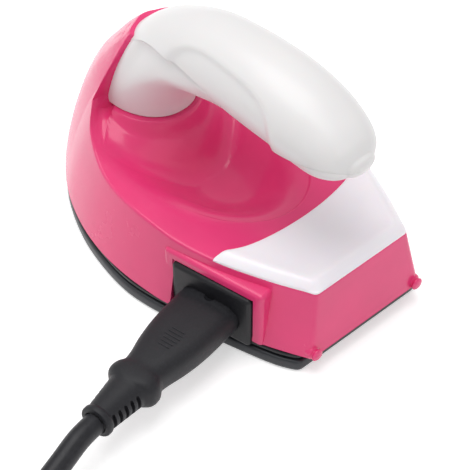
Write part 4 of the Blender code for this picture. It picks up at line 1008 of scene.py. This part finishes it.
def cord_route():
    """The cord's whole line, from the strain relief through the coil to the plug."""
    clear = 2 * CORD_RADIUS
    turns = round((TURNS_IN + TURNS_OUT) * TURN_POINTS)
    coil = [coil_point(index / TURN_POINTS - TURNS_IN) for index in range(turns + 1)]
    leaving = (coil[-1] - coil[-2]).normalized()
    free = [cord_start, cord_start + inlet_out * clear, *(by_face(*at) for at in cord_places)]
    after = [coil[-1] + leaving * 2 * clear, *tail, plug_start - plug_out * GAP]
    return curve_through(free + coil + after, 5)


finishes = {}


class IRON_OT_finishes(bpy.types.Operator):
    """Mixes the finishes that the pieces share."""

    bl_idname = "iron.finishes"
    bl_label = "Finishes"

    def execute(self, context):
        colour = context.scene.iron_colours
        for key, mix, *values in (
                ("pink", gloss_plastic, "pink_gloss", colour.casing, 0.24, 0.14),
                ("white", satin_plastic, "white_satin", colour.handle, 0.36, 0.05, 2200, 0.10),
                ("milk", satin_plastic, "milky_cap", colour.cap, 0.30, 0.15, 1600, 0.05),
                ("inlet", black_moulding, "inlet_black", colour.inlet, 0.42, 1300, 0.25),
                ("ring", black_moulding, "ring_black", colour.inlet, 0.40, 900, 0.2),
                ("rubber", black_moulding, "cord_rubber", colour.cord, 0.50, 1700, 0.45),
                ("cord", black_moulding, "cord_sheath", colour.cord, 0.40, 800, 0.25),
                ("sole", sole_coating, "sole_coating", colour.sole),
                ("brass", bare_metal, "brass", (0.72, 0.50, 0.20), 0.30),
                ("steel", bare_metal, "steel", (0.58, 0.58, 0.60), 0.30),
                ("ceramic", fired_ceramic, "ceramic", (0.80, 0.77, 0.70), 0.65),
                ("mica", fired_ceramic, "mica", (0.62, 0.50, 0.34), 0.65),
                ("sleeve", woven_sleeve, "woven_sleeve", (0.82, 0.81, 0.76))):
            finishes[key] = mix(*values)
        return {"FINISHED"}


PICTURE_SIDE = 470
SENSOR_WIDTH = 36
HEEL_IN_PICTURE = -0.051365


class IRON_OT_camera(bpy.types.Operator):
    """Sets the camera where the photograph was taken from: above, behind and to the left."""

    bl_idname = "iron.camera"
    bl_label = "Camera"

    def execute(self, context):
        azimuth, elevation = math.radians(42.95), math.radians(45.14)
        distance, focal_pixels = 0.500, 2050.0
        # The pixel of the picture at which the heel's middle stands
        heel_across, heel_down = 364.87, 335.38
        back = Vector((-math.cos(azimuth) * math.cos(elevation),
                       math.sin(azimuth) * math.cos(elevation), math.sin(elevation)))
        right = (-back).cross(Vector((0, 0, 1))).normalized()
        up = right.cross(-back)
        per_pixel = distance / focal_pixels
        across = (heel_across - PICTURE_SIDE / 2) * per_pixel
        rise = (PICTURE_SIDE / 2 - heel_down) * per_pixel
        place = back * distance - right * across - up * rise
        place.x += HEEL_IN_PICTURE
        deselect()
        bpy.ops.object.camera_add()
        camera = context.object
        camera.name = "photo_camera"
        turn = Matrix((right, up, back)).transposed().to_4x4()
        camera.matrix_world = Matrix.Translation(place) @ turn
        camera.data.sensor_width = SENSOR_WIDTH
        camera.data.lens = focal_pixels / PICTURE_SIDE * SENSOR_WIDTH
        camera.data.clip_start = 0.01
        context.scene.camera = camera
        return {"FINISHED"}


class IRON_OT_cord_set(bpy.types.Operator):
    """Makes the cord, its connector, the tie round the coil and the mains plug."""

    bl_idname = "iron.cord_set"
    bl_label = "Cord set"

    def execute(self, context):
        size = context.scene.iron_sizes
        connector, plug, tie = make_connector(), make_plug(), make_tie()
        route = cord_route()
        curve = bpy.data.curves.new("mains_cord", "CURVE")
        curve.dimensions = "3D"
        curve.bevel_depth = size.cord_diameter / 2
        curve.bevel_resolution = 6
        curve.use_fill_caps = True
        spline = curve.splines.new("POLY")
        spline.points.add(len(route) - 1)
        for place, point in zip(spline.points, route):
            place.co = (*point, 1.0)
        spline.use_smooth = True
        cord = bpy.data.objects.new("mains_cord", curve)
        context.scene.collection.objects.link(cord)
        for piece, finish, replaced in (
                (connector, "rubber", ["cord_connector"]), (plug, "rubber", ["mains_plug"]),
                (tie, "rubber", ["cord_tie"]), (cord, "cord", ["cord", "cord_coil", "cord_tail"])):
            finish_piece(piece, finish, "cord_set", replaced)
        return {"FINISHED"}


# Length share of the body, width share of the opening, height share, roundness
connector_rows = thousandths(
    (10, 965, 880, 620), (70, 965, 900, 620), (140, 955, 970, 620), (300, 940, 1000, 620),
    (450, 900, 1000, 640), (600, 810, 1000, 680), (720, 700, 980, 720), (790, 665, 960, 760),
    (825, 685, 970, 760), (855, 755, 990, 720), (885, 800, 1000, 720), (925, 805, 1000, 720),
    (955, 770, 990, 760), (978, 680, 970, 840), (995, 605, 940, 920), (1020, 590, 920, 950))


def make_connector():
    """The connector: waisted body, flange, slotted strain relief with its collar, and its nose."""
    rows = eased_rows([(at * CONNECTOR_LENGTH, OPENING_WIDTH * width, CONNECTOR_HEIGHT * height,
                        roundness) for at, width, height, roundness in connector_rows], 4)
    start = relief_end - RELIEF_COLLAR
    collar = RELIEF_END + COLLAR_PROUD
    rows += [(at, side, side, 1.0) for at, side in (
        (start - 0.0003, RELIEF_END), (start, collar - 0.0002), (start + 0.0003, collar),
        (relief_end - 0.0004, collar), (relief_end - 0.0001, collar - 0.0003),
        (relief_end, collar - 0.0008), (relief_end, 0.0060), (relief_end - 0.0008, 0.0058))]
    body = moulded_bar("connector", inlet_face, inlet_out, inlet_along, rows)
    cut(body, two_lobes("nose", OPENING_WIDTH - 2 * GAP, OPENING_HEIGHT - 2 * GAP,
                        OPENING_DEPTH + NOSE_OVERLAP, NOSE_OVERLAP), "UNION")
    for index in range(RELIEF_SLOTS):
        share = (index + 0.5) / RELIEF_SLOTS
        at = CONNECTOR_LENGTH + RELIEF_START + (
            RELIEF_LENGTH - RELIEF_COLLAR - RELIEF_START) * share
        reach = (RELIEF_WIDTH - (RELIEF_WIDTH - RELIEF_END) * share) / 2 + SLOT_OUT
        carve(body, SLOT_SIZE, [inlet_place(at, side * reach) for side in SIDES], INLET_TURN,
              SLOT_EDGE)
    deselect()
    bpy.ops.mesh.primitive_uv_sphere_add(
        segments=24, ring_count=16, radius=NOTCH_RADIUS,
        location=inlet_place(0.0006, 0.0, CONNECTOR_HEIGHT * 0.49))
    bpy.context.object.scale = (1.0, 1.0, 0.8)
    cut(body, settle(bpy.context.object, "notch"))
    for index in range(RIBS):
        place = inlet_place(0.0140 + index * RIB_PITCH, -0.0008, CONNECTOR_HEIGHT / 2 - 0.00012)
        carve(body, (0.0044 - 0.0004 * abs(index - 2), 0.00028, 0.0006), [place], INLET_TURN,
              0.0001, "UNION")
    bore_pins(body, PIN_RADIUS + 0.0004 + 2 * GAP, 0.0102, -0.0056, 24)
    return body


def make_plug():
    """The two-pin mains plug: a tapered grip with finger ridges and a slotted strain relief."""
    body = moulded_bar("mains_plug_body", plug_start, plug_out, plug_across, eased_rows((
        (0.0, 0.0076, 0.0076, 1.0), (0.0003, 0.0084, 0.0084, 1.0), (0.0016, 0.0086, 0.0086, 1.0),
        (0.0020, 0.0078, 0.0078, 1.0), (0.0080, 0.0092, 0.0090, 0.9), (0.0094, 0.01, 0.0096, 0.85),
        (0.0130, 0.015, 0.0108, 0.7), (0.0200, 0.02, 0.0122, 0.6), (0.0260, 0.0215, 0.0126, 0.55),
        (0.0292, 0.0222, 0.0128, 0.5), (0.0305, 0.026, 0.0135, 0.42),
        (0.0312, 0.026, 0.0135, 0.42),
        (0.0354, 0.026, 0.0135, 0.42), (0.036, 0.025, 0.0125, 0.42)), 3))
    for count, start, pitch, size, away, edge in (
            (5, 0.0165, 0.0022, (0.0012, 0.0100, 0.0010), Vector((0, 0, 0.0062)), 0.0003),
            (4, 0.0030, 0.0014, (0.0007, 0.0030, 0.0045), plug_across * 0.0048, 0.0002)):
        for index in range(count):
            at = plug_start + plug_out * (start + index * pitch)
            carve(body, size, [at + away * side for side in SIDES], plug_heading, edge)
    return body


def make_tie():
    """The tie: a flat strap round the coil's turns, with rounded corners and a button."""
    turn = ((COIL_START_ANGLE - TIE_ANGLE) / FULL_TURN) % 1
    low = COIL_INNER + COIL_PITCH * (1 - turn) - CORD_RADIUS - TIE_ROOM
    high = COIL_INNER + COIL_PITCH * (TURNS_IN - turn) + CORD_RADIUS + TIE_ROOM
    top = COIL_LOW + COIL_PITCH + CORD_RADIUS + TIE_ROOM + TIE_WALL
    out = polar(1.0, TIE_ANGLE)
    beside = Vector((-out.y, out.x, 0))
    corner, edge, half = 0.0022, 0.00025, TIE_WIDTH / 2
    far, near = high + TIE_WALL - corner, low - TIE_WALL + corner
    loop = []
    for x, z, start in ((far, corner, -0.25), (far, top - corner, 0.0),
                        (near, top - corner, 0.25), (near, corner, 0.5)):
        for step in range(7):
            loop.append((x, z, polar(1.0, FULL_TURN * (start + 0.25 * step / 6))))
    rings = [[coil_centre + out * (x + away.x * (corner - inset)) + beside * across
              + Vector((0, 0, z + away.y * (corner - inset))) for x, z, away in loop]
             for across, inset in (
                 (-half, edge), (-half + edge, 0.0), (half - edge, 0.0), (half, edge),
                 (half, TIE_WALL - edge), (half - edge, TIE_WALL), (-half + edge, TIE_WALL),
                 (-half, TIE_WALL - edge), (-half, edge))]
    strap = loft("strap", rings, False)
    button = add_rod("button", BUTTON_RADIUS, BUTTON_HEIGHT, coil_centre
                     + out * ((low + high) / 2) + Vector((0, 0, top - 0.0001)),
                     Vector((0, 0, 1)), 32)
    return join([strap, round_edges(button, 0.0003)], "cord_strap")


class IRON_OT_casing(bpy.types.Operator):
    """Makes the pink casing with its dish, pedestal, hood, pegs and the inlet's frame."""

    bl_idname = "iron.casing"
    bl_label = "Casing"

    def execute(self, context):
        size = context.scene.iron_sizes
        casing = casing_body()
        cut(casing, inlet_block("hole", INLET_WIDTH + 2 * GAP, HOLE_DEPTH, INLET_HEIGHT + 2 * GAP,
                                HOLE_OUT))
        finish_piece(casing, "pink", "iron", ["body_shell"], 40)
        surround = inlet_block("inlet_surround", FLANGE_WIDTH + 2 * BEZEL_WIDTH, 0.0080,
                               FLANGE_HEIGHT + 2 * BEZEL_WIDTH, FLANGE_OUT - 0.0010, BEZEL_EDGE,
                               FLANGE_UP - 0.0004, 4)
        cut(surround, add_block("trim", (0.2, 0.2, 0.004), (0, 0, size.shell_bottom - 0.002)))
        cut(surround, inlet_block("hole", FLANGE_WIDTH + 2 * GAP, HOLE_DEPTH,
                                  FLANGE_HEIGHT + 2 * GAP, HOLE_OUT, 0.0, FLANGE_UP))
        pegs = join([make_peg(side * PEG_SPACING / 2) for side in SIDES], "heel_pegs")
        for piece in (surround, pegs):
            finish_piece(piece, "pink", "iron")
        return {"FINISHED"}


PEG_SPACING = 0.0343
PEG_HEIGHT = 0.0064
PEG_SIDES = 28
# Distance ahead of the heel's face against radius: a short root, a neck and a domed head
peg_profile = (
    (0.0030, 0.0), (0.0030, 0.0019), (0.0006, 0.0019), (0.0003, 0.0017), (0.0001, 0.00135),
    (-0.00015, 0.00135), (-0.00035, 0.00150), (-0.0006, 0.00165), (-0.0008, 0.00160),
    (-0.0010, 0.00135), (-0.00115, 0.0009), (-0.0012, 0.0))


def make_peg(y):
    ways = [polar(1.0, FULL_TURN * side / PEG_SIDES) for side in range(PEG_SIDES)]
    return loft("peg", [[(REAR_X + x, y + radius * way.x, PEG_HEIGHT + radius * way.y)
                         for way in ways] for x, radius in peg_profile], False)


CAP_SHARE = 0.255
CAP_BOTTOM = 0.0235
CAP_FRONT = 0.0226
CAP_SWEEP = 0.0046
CAP_POINTS = 500
CAP_FRONT_STEPS = 64
CAP_MIDDLE = 0.0120
CAP_SIDE_WAY = 0.93
CAP_BLEND = 0.0012
CAP_DROP = 0.0003
# Distance in from the heel and sides against height, over the rear cap
cap_face = (
    (0.0, 0.0240), (0.0002, 0.02430), (0.0007, 0.02475), (0.0016, 0.02540), (0.0022, 0.02572),
    (0.0027, 0.02580), (0.0033, 0.02572), (0.0045, 0.02535), (0.0065, 0.02485), (0.0085, 0.02460),
    (0.0120, 0.02450), (0.0200, 0.02455))
# How far towards the middle each ring of the cap's face lies
cap_rings = (0.0, 0.006, 0.018, 0.036, 0.06, 0.085, 0.11, 0.135, 0.16, 0.185, 0.21, 0.24, 0.28,
             0.33, 0.39, 0.46, 0.54, 0.62, 0.70, 0.78, 0.86, 0.93, 0.975)


class IRON_OT_rear_cap(bpy.types.Operator):
    """Makes the milky rear cap with its raised rim and hollow face."""

    bl_idname = "iron.rear_cap"
    bl_label = "Rear cap"

    def execute(self, context):
        size = context.scene.iron_sizes
        side = [wall_place(p, size.heel_top) for p in shell_side(CAP_POINTS)
                if p.x < CAP_SHARE * size.shell_length][::2]
        wide = side[-1].y

        def front_x(share):
            return REAR_X + CAP_FRONT + CAP_SWEEP * abs(share) ** 2

        front = [Vector((front_x(share), wide * share, 0))
                 for share in (1 - 2 * index / CAP_FRONT_STEPS
                               for index in range(1, CAP_FRONT_STEPS))]
        rounded = even_points(curve_through([side[-3], side[-1], front[0], front[2]], 6), 9)
        left = [Vector((p.x, p.y, 0)) for p in side[:-3] + rounded]
        right = right_side(left)
        outline = left + front[3:-3] + right + heel_edge(right[-1], left[0])
        walls = [(p.x, p.y) for p in left[::6]]

        def in_from_edge(point):
            """Distance from the heel or the side, rounded off where the two are alike."""
            side_way = (flow(walls, point.x) - abs(point.y)) * CAP_SIDE_WAY
            least, most = sorted((side_way, point.x - outline[0].x))
            near = max(0.0, 1 - (most - least) / CAP_BLEND)
            return max(0.0, least - CAP_BLEND / 2 * near ** 2)

        middle = Vector((REAR_X + CAP_MIDDLE, 0, 0))
        rings = [[Vector((p.x, p.y, CAP_BOTTOM)) for p in outline]]
        for share in cap_rings:
            ring = []
            for place in (p.lerp(middle, share) for p in outline):
                front_way = front_x(min(1.0, abs(place.y / wide))) - place.x
                drop = CAP_DROP * (1 - ease(front_way / (2 * CAP_DROP)))
                place.z = flow(cap_face, in_from_edge(place)) - drop
                ring.append(place)
            rings.append(ring)
        finish_piece(loft("milky_cap", rings), "milk", "iron", ["rear_cap"], 50)
        return {"FINISHED"}


UPPER_POINTS = 24
LOWER_POINTS = 30
SEAM = 0.00008
HOLLOW_DEPTH = 0.0019
HOLLOW_EDGE = 0.0012
HOLLOW_HEIGHT = 0.016
RECESS_DEPTH = 0.0011
RECESS_MIDDLE = 0.0409
RECESS_LOW = 0.0545
RECESS_HALF_LENGTH = 0.0188
RECESS_HALF_HEIGHT = 0.0108
RECESS_SQUARENESS = 2.8
RECESS_SLOPE = 0.40
THIN_WIDTH = 0.006
RECESS_FADE = 0.004
HOOD_CLEARANCE = 0.0006
HOOD_FADE = 0.006
TAIL_START = 0.010
TAIL_FADE = 0.016


def side_of_handle(section, q, upper):
    """Half width at a place q of a section, less the finger recess and the ridge's hollow."""
    width = section.half_width(q)
    place = section.point(q, 0)
    x, z = place.x - REAR_X, place.z
    thin = min(1.0, width / THIN_WIDTH)
    across = (abs((x - RECESS_MIDDLE) / RECESS_HALF_LENGTH) ** RECESS_SQUARENESS
              + max(0.0, (z - RECESS_LOW) / RECESS_HALF_HEIGHT) ** RECESS_SQUARENESS)
    recess = RECESS_DEPTH * ease((1 - across) / RECESS_SLOPE) * thin
    if upper:
        return width - recess
    below = (section.ridge - q) * section.half
    width -= recess * (1 - ease(below / RECESS_FADE))
    clear_of_hood = ease((hood_edge_x(z) - place.x - HOOD_CLEARANCE) / HOOD_FADE)
    near_tail = ease((x - TAIL_START) / TAIL_FADE)
    dent = (1 - math.exp(-below / HOLLOW_EDGE)) * ease(1 - below / HOLLOW_HEIGHT)
    return width - HOLLOW_DEPTH * dent * clear_of_hood * near_tail * min(1.0, width / THIN_WIDTH)


class IRON_OT_handle(bpy.types.Operator):
    """Makes the handle: grip cover above the ridge, stem and underside below it."""

    bl_idname = "iron.handle"
    bl_label = "Handle"

    def execute(self, context):
        sections = handle_sections()
        shells = []
        for upper, count in ((True, UPPER_POINTS), (False, LOWER_POINTS)):
            end = math.pi / 2 if upper else -math.pi / 2
            rings = []
            for section in sections:
                if upper and section.ridge >= 0.985:
                    continue
                top = math.asin(section.ridge)
                half = []
                for step in range(count + 1):
                    q = math.sin(top + (end - top) * step / count)
                    half.append((q if upper else q - SEAM / section.half,
                                 side_of_handle(section, q, upper)))
                if not upper:
                    half[-1] = (-1.0, 0.0)
                rings.append([section.point(*at) for at in half]
                             + [section.point(q, -y) for q, y in reversed(half[:-1])])
            shells.append(rings)
        tail_section = sections[-1]
        middle = tail_section.point(tail_section.ridge, 0)
        for rings in shells:
            last = rings[-1]
            for shrink, reach in ((0.93, 0.0005), (0.80, 0.0010), (0.60, 0.0014), (0.30, 0.0016)):
                back = Vector((reach, 0, 0))
                rings.append([middle + (p - middle) * shrink - back for p in last])
        cover, stem = shells
        foot_x = sections[0].middle.x
        stem.insert(0, [p.lerp(Vector((foot_x, 0, p.z)), 0.03) - Vector((0, 0, GAP))
                        for p in stem[0]])
        for name, rings, replaced in (("grip_shell", cover, "grip_cover"),
                                      ("stem_shell", stem, "handle_stem")):
            finish_piece(loft(name, rings), "white", "iron", [replaced], 50)
        return {"FINISHED"}


class IRON_OT_inlet(bpy.types.Operator):
    """Makes the black inlet housing with its chamfered frame and two-lobed opening."""

    bl_idname = "iron.inlet"
    bl_label = "Inlet"

    def execute(self, context):
        housing = inlet_block("inlet_frame", INLET_WIDTH, INLET_DEPTH, INLET_HEIGHT, -FLANGE_OUT)
        cut(housing, inlet_block("flange", FLANGE_WIDTH, FLANGE_DEPTH, FLANGE_HEIGHT, FLANGE_OUT,
                                 BEZEL_EDGE, FLANGE_UP), "UNION")
        cut(housing, two_lobes("opening", OPENING_WIDTH, OPENING_HEIGHT, OPENING_DEPTH + 0.002,
                               0.002))
        bore_pins(housing, PIN_RADIUS + GAP, 0.0175, -0.0102, 20)
        finish_piece(housing, "inlet", "iron", ["inlet_housing"])
        return {"FINISHED"}


SOLE_START = 0.0024


class IRON_OT_sole(bpy.types.Operator):
    """Makes the soleplate and the insulating ring above it."""

    bl_idname = "iron.sole"
    bl_label = "Soleplate"

    def execute(self, context):
        size = context.scene.iron_sizes
        left = side_line(sole_outline, size.sole_length, size.sole_half_width, 150, SOLE_CORNER)
        right = right_side(left[:-1])
        outline = left + right + heel_edge(right[-1], left[0])
        start = REAR_X + SOLE_START
        middle = start + size.sole_length / 2
        # Heights, each with how far in from the outline it lies
        for name, finish, slot, replaced, levels in (
                ("sole", "sole", "sole", "soleplate", (
                    (0.0, 0.0009), (0.00012, 0.00035), (0.00045, 0.00006), (0.0009, 0.0),
                    (0.0023, 0.0), (0.00275, 0.00010), (0.00305, 0.00035), (0.0032, 0.0008))),
                ("insulating_ring", "ring", "black_moulding", "base_ring", (
                    (0.0035, 0.0080), (0.0035, 0.0017), (0.0038, 0.0015), (0.0040, 0.0015),
                    (0.0041, 0.0007), (0.0043, 0.0004), (0.0049, 0.0004), (0.0051, 0.0006),
                    (0.0051, 0.0080), (0.0035, 0.0080)))):
            rings = []
            for z, inset in levels:
                wide = 1 - inset / size.sole_half_width
                long = 1 - 2 * inset / size.sole_length
                rings.append([Vector((middle + (start + p.x - middle) * long, p.y * wide, z))
                              for p in outline])
            finish_piece(loft(name, rings, name == "sole"), finish, "iron", [replaced])
        return {"FINISHED"}


carried_over = {
    "brass": ("inlet_pin_line", "inlet_pin_neutral", "contact_line", "contact_neutral",
              "heater_tab_live", "heater_tab_return", "thermostat_tab_rear",
              "thermostat_tab_front"),
    "steel": ("heater_clamp_plate", "heater_screw_rear", "heater_screw_front",
              "sole_screw_heel_left", "sole_screw_heel_right", "sole_screw_nose",
              "handle_screw_left", "handle_screw_right", "cover_screw_rear", "cover_screw_front",
              "fuse_clip", "plug_pin_left", "plug_pin_right"),
    "ceramic": ("heating_element", "thermostat"),
    "mica": ("thermal_fuse",),
    "sleeve": ("lead_inlet_to_thermostat", "lead_thermostat_to_fuse", "lead_fuse_to_heater",
               "lead_heater_to_inlet"),
}


class IRON_OT_inner_parts(bpy.types.Operator):
    """Gives the pins, screws, heater, thermostat, fuse and leads their finishes."""

    bl_idname = "iron.inner_parts"
    bl_label = "Inner parts"

    def execute(self, context):
        for finish, names in carried_over.items():
            for name in names:
                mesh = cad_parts[name].data
                mesh.materials.clear()
                mesh.materials.append(finishes[finish])
        return {"FINISHED"}


class IRON_OT_stage(bpy.types.Operator):
    """Sets the white floor, the world and the soft lamps."""

    bl_idname = "iron.stage"
    bl_label = "Stage"

    def execute(self, context):
        scene = context.scene
        deselect()
        bpy.ops.mesh.primitive_plane_add(size=6, location=(0, 0, -0.0001))
        floor = settle(context.object, "floor")
        floor.data.materials.append(floor_white("floor_white"))
        scene.world = bpy.data.worlds.new("studio")
        scene.world.use_nodes = True
        background = scene.world.node_tree.nodes["Background"]
        background.inputs["Color"].default_value = (1, 1, 1, 1)
        background.inputs["Strength"].default_value = 0.62
        for name, place, target, side, watts in (
                ("overhead", (0.10, 0.05, 0.75), (0, 0, 0.02), 0.60, 3.2),
                ("nose_side", (0.60, 0.55, 0.35), (0, 0, 0.03), 0.50, 0.6),
                ("camera_side", (-0.65, 0.10, 0.45), (0, 0, 0.02), 0.50, 0.4)):
            deselect()
            bpy.ops.object.light_add(type="AREA", location=place)
            lamp = context.object
            lamp.name = name
            lamp.data.shape = "SQUARE"
            lamp.data.size = side
            lamp.data.energy = watts
            back = Vector(place) - Vector(target)
            lamp.rotation_euler = back.to_track_quat("Z", "Y").to_euler()
        scene.view_settings.view_transform = "Standard"
        return {"FINISHED"}


class IRON_PT_bench(bpy.types.Panel):
    """Lists the iron's pieces in the order in which they are made."""

    bl_idname = "IRON_PT_bench"
    bl_label = "Mini travel iron"
    bl_space_type = "VIEW_3D"
    bl_region_type = "UI"
    bl_category = "Iron"

    def draw(self, context):
        column = self.layout.column()
        for step in STEPS:
            column.operator(step.bl_idname)
        for group in (context.scene.iron_sizes, context.scene.iron_colours):
            for name in group.__annotations__:
                column.prop(group, name)


STEPS = (
    IRON_OT_finishes, IRON_OT_camera, IRON_OT_cord_set, IRON_OT_casing, IRON_OT_rear_cap,
    IRON_OT_handle, IRON_OT_inlet, IRON_OT_sole, IRON_OT_inner_parts, IRON_OT_stage,
)
CLASSES = (IronSizes, IronColours, *STEPS, IRON_PT_bench)


def register():
    for made in CLASSES:
        bpy.utils.register_class(made)
    bpy.types.Scene.iron_sizes = bpy.props.PointerProperty(type=IronSizes)
    bpy.types.Scene.iron_colours = bpy.props.PointerProperty(type=IronColours)


def unregister():
    del bpy.types.Scene.iron_colours
    del bpy.types.Scene.iron_sizes
    for made in reversed(CLASSES):
        bpy.utils.unregister_class(made)


def main():
    register()
    for step in STEPS:
        getattr(bpy.ops.iron, step.bl_idname.split(".")[1])()


if __name__ == "__main__":
    main()
